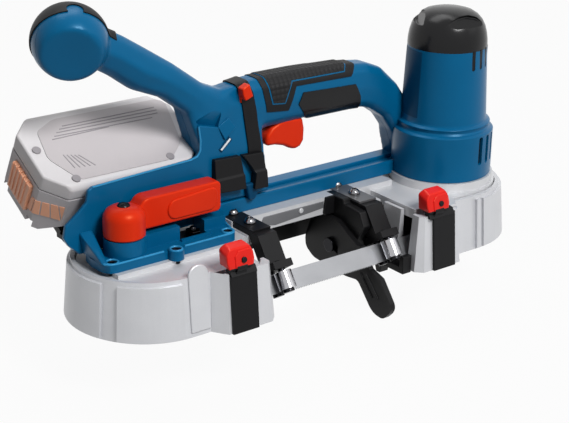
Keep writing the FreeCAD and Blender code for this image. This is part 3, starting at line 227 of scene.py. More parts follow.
RED = moulding("red_moulding", tone(196, 34, 10), tone(212, 46, 16), 0.33, 0.012,
               gloss=0.35, tint=RED_TINT)
LATCH_RED = moulding("latch_moulding", tone(204, 24, 22), tone(220, 36, 32), 0.3, 0.01,
                     gloss=0.35, tint=RED_TINT, coat=0.1)
COVER = casting("cover_paint", tone(188, 189, 193), tone(214, 215, 218), 0.36, 0.35)
DECK = casting("deck_paint", tone(190, 191, 194), tone(214, 215, 217), 0.4, 0.3)
CHROME = worked_steel("roller_chrome", tone(146, 146, 150), tone(196, 196, 199), 0.14, (1, 1, 9))
DARK_STEEL = worked_steel("blackened_steel", tone(24, 24, 26), tone(46, 46, 49), 0.22, (1, 1, 4))
BAND = worked_steel("band_steel", tone(126, 127, 130), tone(156, 157, 160), 0.4, (1, 12, 12))
SCREW = worked_steel("screw_steel", tone(92, 92, 95), tone(150, 150, 153), 0.16, (1, 1, 4))
# A darker grey that paints the shade in the rail's groove
GROOVE_SHADE = casting("rail_groove_shade", tone(92, 93, 96), tone(126, 127, 130), 0.4, 0.4)
GUIDE_GREY = casting("guide_grey", tone(84, 84, 86), tone(114, 114, 116), 0.36, 0.5)
GEAR = worked_steel("gear_steel", tone(128, 126, 122), tone(168, 166, 162), 0.34, (6, 6, 1))
TYRE = moulding("tyre_rubber", tone(34, 33, 33), tone(52, 50, 49), 0.75, 0.05)
WINDING = worked_steel("copper_winding", tone(140, 66, 28), tone(198, 104, 52), 0.36, (1, 1, 18))
BOARD = moulding("board_lacquer", tone(14, 70, 38), tone(24, 98, 52), 0.35, 0.01)
PACK_LID = moulding("pack_grey", tone(170, 165, 167), tone(184, 178, 180), 0.45)
PACK_RIM = moulding("pack_rim", tone(192, 189, 191), tone(206, 203, 204), 0.45)
PACK_CASE = moulding("pack_dark", tone(172, 168, 171), tone(188, 184, 186), 0.5)
PACK_LINE = moulding("pack_line", tone(128, 124, 128), tone(146, 142, 145), 0.5)
PACK_ORANGE = moulding("pack_orange", tone(226, 158, 122), tone(236, 176, 144), 0.42, 0.015)
LENS = moulding("lens_glass", tone(204, 208, 211), tone(226, 229, 231), 0.18, 0.004, coat=0.6)


# Mesh helpers; shapes are drawn in millimetres
SAME_POINT, SAME_PLANE = 0.002, math.radians(1.0)


def copied(node):
    """A CAD node's own mesh, joined up and freed of its flat triangles' edges."""
    mesh = bmesh.new()
    mesh.from_mesh(NODES[node].data)
    bmesh.ops.scale(mesh, vec=(METRE, METRE, METRE), verts=mesh.verts)
    bmesh.ops.remove_doubles(mesh, verts=mesh.verts, dist=SAME_POINT)
    bmesh.ops.dissolve_limit(mesh, angle_limit=SAME_PLANE, verts=mesh.verts, edges=mesh.edges)
    return mesh


def baked(name, mesh):
    """A working mesh as finished data; the working mesh is let go."""
    shape = bpy.data.meshes.new(name)
    mesh.to_mesh(shape)
    mesh.free()
    return shape


def placed(name, data):
    """A new object in the scene."""
    made = bpy.data.objects.new(name, data)
    bpy.context.scene.collection.objects.link(made)
    return made


def rounded(mesh, edges, width, segments):
    """Bevels some edges of a mesh round."""
    bmesh.ops.bevel(mesh, geom=edges, offset=width, offset_type="OFFSET", affect="EDGES",
                    segments=segments, profile=0.5, material=-1, clamp_overlap=True)


def rolled(mesh, width, segments=3, sharper=35, edges=None):
    """Rolls the edges of a mesh that turn by more than some degrees over by a small radius."""
    limit = math.radians(sharper)
    hard = [edge for edge in edges or mesh.edges
            if len(edge.link_faces) == 2 and edge.calc_face_angle() > limit]
    rounded(mesh, hard, width, segments)
    return mesh


def prism(outline, span, plane="xz", corner=0.0, mesh=None):
    """A flat outline, its corners rounded where asked, drawn out over a span."""
    def at(first, second, third):
        return {"xz": (first, third, second), "xy": (first, second, third),
                "yz": (third, first, second)}[plane]
    if mesh is None:
        mesh = bmesh.new()
    start, end = span
    corners = [mesh.verts.new(at(*point, start)) for point in outline]
    face = mesh.faces.new(corners)
    grown = bmesh.ops.extrude_face_region(mesh, geom=[face])["geom"]
    moved = [item for item in grown if isinstance(item, bmesh.types.BMVert)]
    bmesh.ops.translate(mesh, verts=moved, vec=at(0, 0, end - start))
    bmesh.ops.recalc_face_normals(mesh, faces=mesh.faces)
    if corner:
        posts = [edge for vert in corners for edge in vert.link_edges
                 if edge.other_vert(vert) in moved]
        rounded(mesh, posts, corner, 6)
    return mesh


def slab(outline, span, roll, segments=3, plane="xz", corner=0.0):
    """A flat outline drawn out over a span, with its edges rolled."""
    return rolled(prism(outline, span, plane, corner), roll, segments)


def piece(name, mesh, body, finish, replaced=(), smooth=38, even=True):
    """Turns a mesh into a named piece that rides on a body and takes a finish."""
    bmesh.ops.scale(mesh, vec=(MM, MM, MM), verts=mesh.verts)
    shape = baked(name, mesh)
    shape.materials.append(finish)
    shape.shade_smooth()
    shape.set_sharp_from_angle(angle=math.radians(smooth))
    made = placed(name, shape)
    if even:
        made.modifiers.new("even_shading", "WEIGHTED_NORMAL").keep_sharp = True
    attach(made, body)
    if replaced:
        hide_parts(*replaced)


def softened(node, body, finish, width, segments=3):
    """A CAD node with its edges rolled, in place of the node."""
    piece(node + "_form", rolled(copied(node), width, segments), body, finish, [node])


def evaluated(mesh, modifiers):
    """The mesh after a row of modifiers, each a kind with its settings."""
    shape = baked("work", mesh)
    holder = placed("work", shape)
    for kind, settings in modifiers:
        modifier = holder.modifiers.new(kind, kind)
        for name, value in settings.items():
            setattr(modifier, name, value)
    graph = bpy.context.evaluated_depsgraph_get()
    worked = bpy.data.meshes.new_from_object(holder.evaluated_get(graph))
    result = bmesh.new()
    result.from_mesh(worked)
    bpy.data.objects.remove(holder)
    bpy.data.meshes.remove(shape)
    bpy.data.meshes.remove(worked)
    return result


def fused(mesh, voxel, rounds):
    """Overlapping solids melted into one skin, with its edges worn round."""
    return evaluated(mesh, [("REMESH", {"mode": "VOXEL", "voxel_size": voxel}),
                            ("SMOOTH", {"factor": 0.5, "iterations": rounds})])


def lifted(base, lift):
    """A copy of a form, swollen outwards by a small amount."""
    swollen = base.copy()
    swollen.normal_update()
    for vert in swollen.verts:
        vert.co += vert.normal * lift * vert.calc_shell_factor()
    return swollen


def combined(first, second, operation, solver="MANIFOLD"):
    """One closed mesh cut by another, or what the two share."""
    shape = baked("tool", second)
    tool = placed("tool", shape)
    settings = {"operation": operation, "solver": solver, "object": tool}
    result = evaluated(first, [("BOOLEAN", settings)])
    bpy.data.objects.remove(tool)
    bpy.data.meshes.remove(shape)
    return result


def joined(first, *others):
    """Several meshes put together as they are."""
    for other in others:
        shape = baked("part", other)
        first.from_mesh(shape)
        bpy.data.meshes.remove(shape)
    return first


def cut_off(mesh, point, outward):
    """Cuts away what lies beyond a plane and gives the edges of the cut."""
    cut = bmesh.ops.bisect_plane(mesh, geom=[*mesh.verts, *mesh.edges, *mesh.faces], dist=0.001,
                                 plane_co=point, plane_no=outward, clear_outer=True)
    return [item for item in cut["geom_cut"] if isinstance(item, bmesh.types.BMEdge)]


def hull(points):
    """A closed shape drawn tight round a few points."""
    mesh = bmesh.new()
    corners = [mesh.verts.new(point) for point in points]
    bmesh.ops.convex_hull(mesh, input=corners)
    bmesh.ops.recalc_face_normals(mesh, faces=mesh.faces)
    return mesh


def drum(centre, facing, radius, depth):
    """A round bar centred on a point and laid along a direction."""
    mesh = bmesh.new()
    bmesh.ops.create_cone(mesh, cap_ends=True, segments=48, radius1=radius, radius2=radius,
                          depth=depth)
    turn = Vector((0, 0, 1)).rotation_difference(Vector(facing)).to_matrix()
    bmesh.ops.rotate(mesh, verts=mesh.verts, cent=(0, 0, 0), matrix=turn)
    bmesh.ops.translate(mesh, verts=mesh.verts, vec=centre)
    return mesh


def bridged(mesh, loops):
    """Walls between each loop of edges and the next, and outward normals."""
    for near, far in zip(loops, loops[1:]):
        bmesh.ops.bridge_loops(mesh, edges=[*near, *far])
    bmesh.ops.recalc_face_normals(mesh, faces=mesh.faces)
    return mesh


def bead(points, radius):
    """A thin round moulding drawn through points."""
    mesh = bmesh.new()
    path = [Vector(point) for point in points]
    loops = []
    for before, spot, after in zip([path[0], *path], path, [*path[1:], path[-1]]):
        turn = (after - before).to_track_quat("Z", "Y").to_matrix().to_4x4()
        ring = bmesh.ops.create_circle(mesh, segments=10, radius=radius,
                                       matrix=Matrix.Translation(spot) @ turn)["verts"]
        loops.append(list({edge for vert in ring for edge in vert.link_edges}))
    for end in (loops[0], loops[-1]):
        bmesh.ops.edgeloop_fill(mesh, edges=end)
    return bridged(mesh, loops)


def turned(profile, x, y, segments=64):
    """A round piece spun about an upright line, from a profile of radii and heights."""
    mesh = bmesh.new()
    line = [mesh.verts.new((x + radius, y, height)) for radius, height in profile]
    edges = [mesh.edges.new(pair) for pair in zip(line, line[1:])]
    bmesh.ops.spin(mesh, geom=[*line, *edges], cent=(x, y, 0), axis=(0, 0, 1), angle=math.tau,
                   steps=segments, use_merge=True)
    bmesh.ops.remove_doubles(mesh, verts=mesh.verts, dist=0.001)
    bmesh.ops.recalc_face_normals(mesh, faces=mesh.faces)
    return mesh


def leaning_bar(high, low, half):
    """The outline of a narrow bar between an upper and a lower point."""
    return [(high[0] - half, high[1]), (high[0] + half, high[1]),
            (low[0] + half, low[1]), (low[0] - half, low[1])]


# Body: arm, knob, block, handle and rear leg
KNOB = Vector((-291, 26.5, 180.3))
KNOB_RADIUS, KNOB_FLAT = 23.7, 14.5
KNOB_FACE = Vector((-0.42, -0.84, -0.34)).normalized()
BODY_VOXEL, BODY_ROUNDS = 1.3, 10
# A ring is its top, its foot and its half widths at these shares of the way down
RING_SHARES = (0.0, 0.16, 0.5, 0.84, 1.0)
ROUND_BAR = (6.5, 10.8, 12.2, 11.2, 7.0)
BLOCK = (7.0, 11.1, 12.2, 12.2, 12.0)
ARM_RINGS = [
    ((-274, 189), (-285, 167), (6.0, 10.0, 13.0, 9.0, 5.0)),
    ((-256, 180), (-265, 155), (5.0, 9.5, 12.6, 8.5, 4.0)),
    ((-238, 168.5), (-250, 144), (5.0, 9.5, 12.8, 9.0, 4.5)),
    ((-220.5, 157), (-229, 135.5), (6.0, 10.0, 12.6, 10.5, 7.0)),
    ((-197, 139.5), (-212, 123), (6.5, 10.5, 12.2, 11.2, 9.0)),
    ((-183, 133.5), (-204.5, 102), (6.5, 10.5, 12.2, 12.0, 11.5)),
    ((-172, 134.5), (-195.5, 56), BLOCK),
    ((-158, 136), (-147, 56), BLOCK),
]
HANDLE_RINGS = [
    ((-172, 134.5), (-158, 96), ROUND_BAR),
    ((-158, 136.2), (-148, 101), ROUND_BAR),
    ((-120, 136), (-120, 101.5), ROUND_BAR),
    ((-78, 134), (-74, 101), ROUND_BAR),
    ((-58, 132), (-61, 100), ROUND_BAR),
    ((-45, 127), (-53, 97), ROUND_BAR),
    ((-29, 112.5), (-41, 89), ROUND_BAR),
    ((-19, 99), (-32, 77), ROUND_BAR),
    ((-15, 80), (-27, 65), BLOCK),
    ((-15, 49), (-23, 49), BLOCK),
]
CHEEK_DENT = [(-208, 13.2, 120), (-188, 13.2, 125.2), (-187.6, 15.5, 118.5),
              (-205.5, 18.5, 114.4), (-190.3, 18.2, 110.5)]
CHEEK_DIAMOND = [(-190.3, 14.0, 110.5), (-182.2, 13.6, 115.8), (-177.4, 11.9, 108.7),
                 (-185.7, 12.4, 101.3)]


def loft(mesh, rings):
    """A closed bar through a row of rings."""
    loops = []
    for top, foot, halves in rings:
        sides = []
        for share, half in zip(RING_SHARES, halves):
            x = top[0] + (foot[0] - top[0]) * share
            z = top[1] + (foot[1] - top[1]) * share
            sides.append((x, z, half))
        near = [mesh.verts.new((x, PARTING - half, z)) for x, z, half in sides]
        far = [mesh.verts.new((x, PARTING + half, z)) for x, z, half in reversed(sides)]
        loop = near + far
        loops.append([mesh.edges.new(pair) for pair in zip(loop, loop[1:] + loop[:1])])
        if len(loops) in (1, len(rings)):
            mesh.faces.new(loop)
    bridged(mesh, loops)


def body_form():
    """The grip body as one soft form."""
    mesh = bmesh.new()
    ball = bmesh.ops.create_uvsphere(mesh, u_segments=48, v_segments=32, radius=KNOB_RADIUS)
    bmesh.ops.translate(mesh, verts=ball["verts"], vec=KNOB)
    rim = cut_off(mesh, KNOB + KNOB_FACE * KNOB_FLAT, KNOB_FACE)
    bmesh.ops.edgeloop_fill(mesh, edges=rim)
    loft(mesh, ARM_RINGS)
    loft(mesh, HANDLE_RINGS)
    return fused(mesh, BODY_VOXEL, BODY_ROUNDS)


def halved(base, side):
    """The front (-1) or rear (1) half of a form, closed just short of the parting plane."""
    half = base.copy()
    rim = cut_off(half, (0, PARTING + PARTING_GAP * side, 0), (0, -side, 0))
    bmesh.ops.triangle_fill(half, edges=rim, use_beauty=True, normal=(0, -side, 0))
    return half


def deepened(face, y):
    """The points of a face, and the same points on a plane behind or before it."""
    return [*face, *((point[0], y, point[2]) for point in face)]


BODY_FORM = combined(body_form(), hull(deepened(CHEEK_DENT, 5)), "DIFFERENCE")
for half_name, side, node in (("body_front", -1, "housing_front"),
                              ("body_rear", 1, "housing_rear")):
    piece(half_name, halved(BODY_FORM, side), "frame", BLUE, [node], even=False)
piece("cheek_diamond", rolled(hull(deepened(CHEEK_DIAMOND, 17)), 0.5), "frame", BLUE)

# Spine under the handle, with the wall of the battery bay
BAY_WALL = [(-296, 46), (-304.6, 53.5), (-307.5, 59), (-305.9, 67), (-296, 74.5), (-290.5, 79.5),
            (-289, 87), (-286, 89), (-247, 90.6), (-212, 92), (-207, 93.3), (-204.6, 96.5),
            (-204.2, 103.6), (-205.8, 114.4), (-190.3, 110.5), (-185.7, 101.3), (-188.6, 94.3),
            (-188, 56), (-20, 56), (-20, 46)]
BAY_WALL_SPAN = (FRONT - 0.4, 17.2)
SPINE_FOOT = [(-297, 46), (-303, 53.6), (-20, 53.6), (-20, 46)]
SPINE_FOOT_SPAN = (FRONT, PARTING - PARTING_GAP)
SPINE_REAR = [(-202, 46), (-202, 56), (-20, 56), (-20, 46)]
SPINE_REAR_SPAN = (PARTING + PARTING_GAP, REAR)
wall = prism(BAY_WALL, BAY_WALL_SPAN)
prism(SPINE_FOOT, SPINE_FOOT_SPAN, mesh=wall)
piece("spine_front", rolled(wall, 0.8), "frame", BLUE)
piece("spine_rear", slab(SPINE_REAR, SPINE_REAR_SPAN, 1.1), "frame", BLUE)

# Grip patches, drawn as outlines seen from the front
TRIGGER_WELL = [(-152, 80), (-111.5, 80), (-111.5, 112), (-152, 112)]
TRIGGER_WELL_SPAN = (18.2, 34.8)
THROUGH_BODY = (0, 60)
TOP_GRIP = [(-157, 146), (-153.4, 129.9), (-150.1, 113.5), (-131.5, 111.5), (-124.9, 127.5),
            (-76.3, 126.4), (-69.4, 134.4), (-66, 146)]
GRIP_LINE = [(-152, 146), (-150.1, 136.9), (-146, 118.2), (-135.1, 116.9), (-128.1, 131),
             (-81.9, 130.2), (-77.2, 135.7), (-74, 146)]
GRIP_FIELD = [(-151, 146), (-149.2, 136.7), (-145.2, 119.1), (-135.7, 117.9), (-128.7, 132),
              (-82.3, 131.1), (-78.1, 136), (-75, 146)]
UNDER_GRIP = [(-123.1, 114.4), (-119.4, 122.1), (-72.6, 120.2), (-67.7, 110.6), (-65.9, 97),
              (-110.6, 97)]
BLACK_BAND = [(-176, 146), (-172, 133.3), (-166.1, 91.7), (-166, 86), (-155, 86), (-155.2, 90.7),
              (-162.9, 136.8), (-165, 146)]
PATCHES = [
    ("top_grip", TOP_GRIP, 0.6, SOFT_BLACK, "black_rubber", ["handle_grip_top"]),
    ("top_grip_line", GRIP_LINE, 0.85, BLUE, "blue_plastic", []),
    ("top_grip_field", GRIP_FIELD, 1.15, STUDDED, "black_rubber", []),
    ("under_grip", UNDER_GRIP, 0.8, CAP_BLACK, "black_rubber", ["handle_grip_under"]),
    ("handle_band", BLACK_BAND, 1.2, BLACK, "black_rubber", ["switch_band"]),
]


def patch(outline, lift):
    """A skin on the body within an outline, clear of the trigger's well."""
    skin = combined(lifted(BODY_FORM, lift), prism(outline, THROUGH_BODY), "INTERSECT")
    return combined(skin, prism(TRIGGER_WELL, TRIGGER_WELL_SPAN), "DIFFERENCE")


for patch_name, outline, lift, finish, slot, replaced in PATCHES:
    piece(patch_name, patch(outline, lift), "frame", finish, replaced, even=False)

# Knob cap
CAP_FACING = Vector((0.336, 0.819, 0.464)).normalized()
CAP_LIFT, CAP_SHIFT, CAP_RADIUS, CAP_DEPTH = 0.9, 20.8, 29, 40
TONGUE = Vector((-0.01, -0.36, 0.93)).normalized()
TONGUE_SHIFT, TONGUE_RADIUS, TONGUE_DEPTH = 24, 5.2, 12


def knob_cap():
    """The soft cap over the back of the knob, with the body's tongue let into its edge."""
    half = drum(KNOB + CAP_FACING * CAP_SHIFT, CAP_FACING, CAP_RADIUS, CAP_DEPTH)
    tongue = drum(KNOB + TONGUE * TONGUE_SHIFT, TONGUE, TONGUE_RADIUS, TONGUE_DEPTH)
    cap = combined(lifted(BODY_FORM, CAP_LIFT), half, "INTERSECT")
    return combined(cap, tongue, "DIFFERENCE")


piece("knob_cap_form", knob_cap(), "frame", SOFT_BLACK, ["knob_cap"], even=False)

# Edges and fittings of the body
BAY_EDGE = [(-205.6, 113.6), (-204.2, 103.6), (-204.5, 97), (-206.8, 93.5), (-212, 92),
            (-247, 90.7), (-286, 89)]
BAY_EDGE_Y, BAY_EDGE_RADIUS = FRONT - 0.2, 0.65
SCREWS_SUNK = 0.3
# The bay's edge bead is a lighter blue, a painted highlight along the rim
piece("bay_edge", bead([(x, BAY_EDGE_Y, z) for x, z in BAY_EDGE], BAY_EDGE_RADIUS), "frame",
      BLUE_PAINTED_HIGHLIGHT)
screws = combined(copied("housing_screws"), lifted(BODY_FORM, -SCREWS_SUNK), "INTERSECT", "EXACT")
piece("housing_screw_set", screws, "frame", DARK_STEEL, ["housing_screws"])

LOCK_FACE = [(-173, 134.2), (-167.2, 137), (-163.9, 127.8), (-170.3, 125.5), (-172.1, 129.2)]
LOCK_CORE = [(-171.5, 130.5), (-166.5, 130.5), (-166.5, 123.5), (-171.5, 123.5)]
LOCK_FACE_SPAN, LOCK_BACK_SPAN, LOCK_STEM_SPAN = (10.6, 17), (36, 41), (15, 38)
lock = joined(slab(LOCK_FACE, LOCK_FACE_SPAN, 1.1, 4), slab(LOCK_CORE, LOCK_BACK_SPAN, 1.1, 4),
              slab(LOCK_CORE, LOCK_STEM_SPAN, 0.5))
piece("lock_button_form", lock, "lock_button", RED, ["lock_button"])

TRIGGER_SIDE = [(-146.5, 93.5), (-141, 99.5), (-131, 104), (-115, 102.5), (-113.2, 94),
                (-113.6, 85.4), (-116.5, 81.4), (-121, 79.8), (-126, 81.6), (-131, 84.4),
                (-138.5, 86.4), (-146.4, 86.8)]
TRIGGER_SPAN = (19, 34)
piece("trigger_form", slab(TRIGGER_SIDE, TRIGGER_SPAN, 2.8, 6), "trigger", RED,
      ["trigger"])

CLIP_DEPTH = [(14.4, 90.5), (10.2, 90.5), (9.4, 76.2), (8.2, 75), (7.5, 61), (14.4, 61)]
CLIP_LEFT = [(-195.5, 89.5), (-174.8, 88.6), (-172, 75), (-171.3, 65.2), (-194.7, 66.4),
             (-195.5, 75.6)]
CLIP_RIGHT = [(-172.9, 88.4), (-155.8, 87.6), (-153.4, 73), (-152.8, 62.5), (-164.5, 63.1),
              (-162.8, 73.6), (-166.2, 79.5)]
CLIP_ALONG, CLIP_ACROSS = (-200, -150), (5, 16)
CLIP_PIN = [(-170, 67), (-163, 67), (-159.5, 59), (-162, 54.6), (-167, 54.6)]
CLIP_PIN_SPAN = (10.4, 14.6)


def clip_block(outline):
    """One jaw of the tool clip: a face over a band that flares outwards."""
    depth = prism(CLIP_DEPTH, CLIP_ALONG, "yz")
    return rolled(combined(prism(outline, CLIP_ACROSS), depth, "INTERSECT"), 0.7)


piece("tool_clip_form", joined(clip_block(CLIP_LEFT), clip_block(CLIP_RIGHT)), "frame", BLACK,
      ["tool_clip"])
piece("clip_pin", slab(CLIP_PIN, CLIP_PIN_SPAN, 1.4, 4), "frame", BLUE_DEEP_AND_SHADE)

LED_BEZEL = [(-181.6, 102.6), (-179, 100.2), (-187.6, 92.6), (-190.2, 95)]
LED_SLIT = [(-181.4, 101.6), (-180.3, 100.6), (-187.8, 93.8), (-188.9, 94.8)]
LED_BEZEL_SPAN, LED_SLIT_SPAN = (13.5, 15), (13.2, 15)
# The bezel round the slit is darker blue, painted shade in the recess round the LED
piece("led_bezel", slab(LED_BEZEL, LED_BEZEL_SPAN, 0.4), "frame", BLUE_DEEP_AND_SHADE)
piece("led_lens_form", slab(LED_SLIT, LED_SLIT_SPAN, 0.25), "frame", LENS,
      ["led_lens"])

# Wheel covers, with raised panels, and what hangs from them
ARC_STEPS = 24
PANEL_INNER, PANEL_OUTER, PANEL_FOOT = 46.5, 64.0, 1.2
# Name, cover, wheel end, first and last angle, lift and top of each panel
PANELS = [
    ("left_end_panel", "left_cover", IDLER_X, -156.4, -262, 2.2, 37.2),
    ("left_front_panel", "left_cover", IDLER_X, -143.5, -96.7, 2.2, 37.2),
    ("right_front_rib", "right_cover", DRIVE_X, -93.5, -89.5, 2.2, 37.6),
    ("right_end_panel", "right_cover", DRIVE_X, -86, 92, 1.9, 37.2),
]
EAR = [(-254, 3), (-254, 41), (-252.6, 44.4), (-249.8, 46.5), (-246.5, 47), (-243.2, 46.5),
       (-240.4, 44.4), (-239, 41), (-239, 3)]
EAR_SPAN = (-48.6, -46.2)
LEAN = 0.0875
WALL_LEAN = Matrix(((1, 0, 0, 0), (0, 1, LEAN, 0), (0, 0, 1, 0), (0, 0, 0, 1)))


def arc(centre_x, radius, start, end):
    """Points in plan round a wheel end, between two angles."""
    angles = [math.radians(start + (end - start) * step / ARC_STEPS)
              for step in range(ARC_STEPS + 1)]
    return [(centre_x + radius * math.cos(angle), WHEEL_Y + radius * math.sin(angle))
            for angle in angles]


def panel(cover, centre_x, start, end, lift, high):
    """A raised panel on the outside of a cover's wall."""
    near, far = (arc(centre_x, radius, start, end) for radius in (PANEL_INNER, PANEL_OUTER))
    tool = prism([*far, *reversed(near)], (PANEL_FOOT, high), "xy")
    return rolled(combined(lifted(copied(cover), lift), tool, "INTERSECT", "EXACT"), 0.45, 2)


for cover in ("left_cover", "right_cover"):
    softened(cover, cover, COVER, 1.2)
for panel_name, cover, *measures in PANELS:
    piece(panel_name, panel(cover, *measures), cover, COVER)
ear = slab(EAR, EAR_SPAN, 0.8)
bmesh.ops.transform(ear, verts=ear.verts, matrix=WALL_LEAN)
piece("left_cover_ear", ear, "left_cover", COVER)

# Straps and latches; a latch's corners stand off its left and its right side
STRAPS = {"left": (-230, -210), "right": (-62, -39)}
LATCHES = {"left": (-232.2, -211.8), "right": (-64.2, -43.8)}
FLAP = ((-57.6, 38.4), (-55.2, 38.2), (-55, 42.6), (-51, 43), (-51, 40.3))
LATCH_LEFT = [(1, -57, 43.4), (-0.3, -56.4, 47.5), (0, -55.3, 52), (2.5, -54.3, 56.2),
              (4, -47, 58.2), (0.5, -45, 55), (1.5, -45, 43.4)]
LATCH_RIGHT = [(-0.5, -57, 43.4), (0.3, -56.4, 47.5), (0, -55.3, 52), (-2.5, -54.3, 56.4),
               (-4, -47, 58.2), (-0.5, -45, 55), (-1.5, -45, 43.4)]
LATCH_FACE_DEPTH = 2.4
# How far in from the left side, then place, facing, radius and depth of a latch's socket
SOCKET_IN, SOCKET_Y, SOCKET_Z = 11.8, -57.2, 48.6
SOCKET_FACING, SOCKET_RADIUS, SOCKET_DEPTH = (0, -1, 0.2), 1.9, 1.6


def strap(side):
    """A cover's strap with the flap that leads up to its latch."""
    flap = hull([(x, y, z) for x in STRAPS[side] for y, z in FLAP])
    form = joined(rolled(copied(side + "_strap"), 0.7), rolled(flap, 0.5))
    piece(side + "_strap_form", form, side + "_cover", BLACK, [side + "_strap"])


def latch(side):
    """An over-centre latch: a leaning block with a raised face and a socket."""
    left, right = LATCHES[side]
    corners = []
    for (near, *near_rest), (far, *far_rest) in zip(LATCH_LEFT, LATCH_RIGHT):
        corners += [(left + near, *near_rest), (right + far, *far_rest)]
    face = [(left + 5.5, -57.7, 44), (right - 1.8, -57.7, 44), (right - 1.8, -55.5, 54.6),
            (left + 8.6, -55.5, 54.6), (left + 5.5, -56.4, 51.2)]
    raised = hull([*face, *((x, y + LATCH_FACE_DEPTH, z) for x, y, z in face)])
    form = joined(rolled(hull(corners), 1.2, sharper=15), rolled(raised, 0.5))
    piece(side + "_latch_form", form, side + "_latch", LATCH_RED, [side + "_latch"])
    socket = drum((left + SOCKET_IN, SOCKET_Y, SOCKET_Z), SOCKET_FACING, SOCKET_RADIUS,
                  SOCKET_DEPTH)
    piece(side + "_latch_socket", rolled(socket, 0.3), side + "_latch", BLACK)


for side in STRAPS:
    strap(side)
for side in LATCHES:
    latch(side)

# Motor: slotted barrel, blank plate and a capped end with leaf hollows
MOTOR_STEPS = 96
BARREL = [(30.9, 48.2), (36.2, 48.2), (36.6, 49), (36.6, 81), (35.8, 81.9), (34, 82.6),
          (33.2, 84), (33.4, 85.6), (34, 86.6), (33.6, 87.2), (31.6, 88.2), (31, 90), (28.5, 143),
          (26.1, 143), (26.1, 72), (30.9, 70), (30.9, 48.2)]
CAP = [(0, 168.5), (6, 168.3), (12, 167.6), (17, 166.2), (21, 163.8), (24, 160.6), (26.2, 156.5),
       (27.6, 151.8), (28.4, 147), (28.6, 143.4), (28.6, 141.8), (26.3, 141.8), (26.3, 143.4),
       (25.6, 148), (23.6, 153.5), (20, 157.4), (0, 161)]
# Angle, inner, floor and mouth radius, foot, top and half width of each slot
BARREL_SLOTS = [(-92 + 15.5 * step, 27.2, 29.4, 33, 128, 142.6, 1.5) for step in range(15)]
COLLAR_SLOTS = [(-84 + 13 * step, 34, 35, 39, 59, 80, 1.9) for step in range(12)]
# Corner of a slot as a share of its half width
SLOT_CORNER = 0.8
# How much deeper, further sunk, shorter and slimmer than its slot the black sheet of painted shade
# in it is
SHADE_DEEPER, SHADE_SUNK, SHADE_SHORTER, SHADE_SLIMMER = 0.3, 0.6, 0.2, 0.05
BLANK_PLATE = [(29.4, 92.5), (31.2, 92.5), (28.95, 140.5), (27.2, 140.5), (29.4, 92.5)]
PLATE_REACH, PLATE_START, PLATE_END = 50, 149, 196
PLATE_TOOL_SPAN = (80, 150)
LEAF = [(-17, 0.5), (-12, 3.2), (-5, 5.2), (3, 5.6), (10, 3.6), (16, -1.6), (10, -4), (0, -5.2),
        (-10, -4)]
LEAF_ANGLES = (-95, 25, 145)
LEAF_RADIUS, LEAF_HEIGHT, LEAF_SPAN = 21, 161.6, (-2.4, 9)
# How far a leaf faces outwards and upwards
LEAF_OUT, LEAF_UP = 0.73, 0.68


def slot_bar(angle, span, low, high, half):
    """An upright bar with rounded corners, standing off the motor's axis at an angle."""
    outline = [(-half, low), (half, low), (half, high), (-half, high)]
    bar = prism(outline, span, "yz", half * SLOT_CORNER)
    turn = Matrix.Rotation(math.radians(angle), 3, "Z")
    bmesh.ops.rotate(bar, verts=bar.verts, cent=(0, 0, 0), matrix=turn)
    return bar


def leaf_hollow(angle):
    """The tool that sinks a leaf into the cap's shoulder."""
    heading = math.radians(angle)
    outward = Vector((math.cos(heading), math.sin(heading), 0))
    normal = (outward * LEAF_OUT + Vector((0, 0, LEAF_UP))).normalized()
    along = Vector((-math.sin(heading), math.cos(heading), 0))
    seat = Matrix((along, normal.cross(along), normal)).transposed().to_4x4()
    spot = Matrix.Translation(outward * LEAF_RADIUS + Vector((0, 0, LEAF_HEIGHT)))
    leaf = slab(LEAF, LEAF_SPAN, 0.8, plane="xy")
    bmesh.ops.transform(leaf, verts=leaf.verts, matrix=spot @ seat)
    return leaf


barrel = turned(BARREL, 0, 0, MOTOR_STEPS)
# Black sheets in the slots' floors are painted shade inside the slots
slot_shade = bmesh.new()
for angle, inner, ground, mouth, low, high, half in BARREL_SLOTS + COLLAR_SLOTS:
    barrel = combined(barrel, slot_bar(angle, (inner, mouth), low, high, half), "DIFFERENCE")
    joined(slot_shade, slot_bar(angle, (inner - SHADE_DEEPER, ground - SHADE_SUNK),
                            low + SHADE_SHORTER, high - SHADE_SHORTER, half - SHADE_SLIMMER))
piece("motor_housing_form", rolled(barrel, 0.3, 2, sharper=60), "frame", BLUE,
      ["motor_housing"], smooth=30)
piece("motor_slot_shade", slot_shade, "frame", BLACK)
# The blank plate is a darker blue: partly its own tone, partly painted shade that the handle casts
wedge = prism([(0, 0), *arc(0, PLATE_REACH, PLATE_START, PLATE_END)], PLATE_TOOL_SPAN, "xy")
plate = combined(turned(BLANK_PLATE, 0, 0, MOTOR_STEPS), wedge, "INTERSECT")
piece("motor_blank_plate", rolled(plate, 0.25, 2, sharper=50), "frame", BLUE_DEEP_AND_SHADE)
cap = turned(CAP, 0, 0, MOTOR_STEPS)
for angle in LEAF_ANGLES:
    cap = combined(cap, leaf_hollow(angle), "DIFFERENCE")
piece("motor_cap_form", cap, "frame", CAP_BLACK, ["motor_cap"], smooth=30)

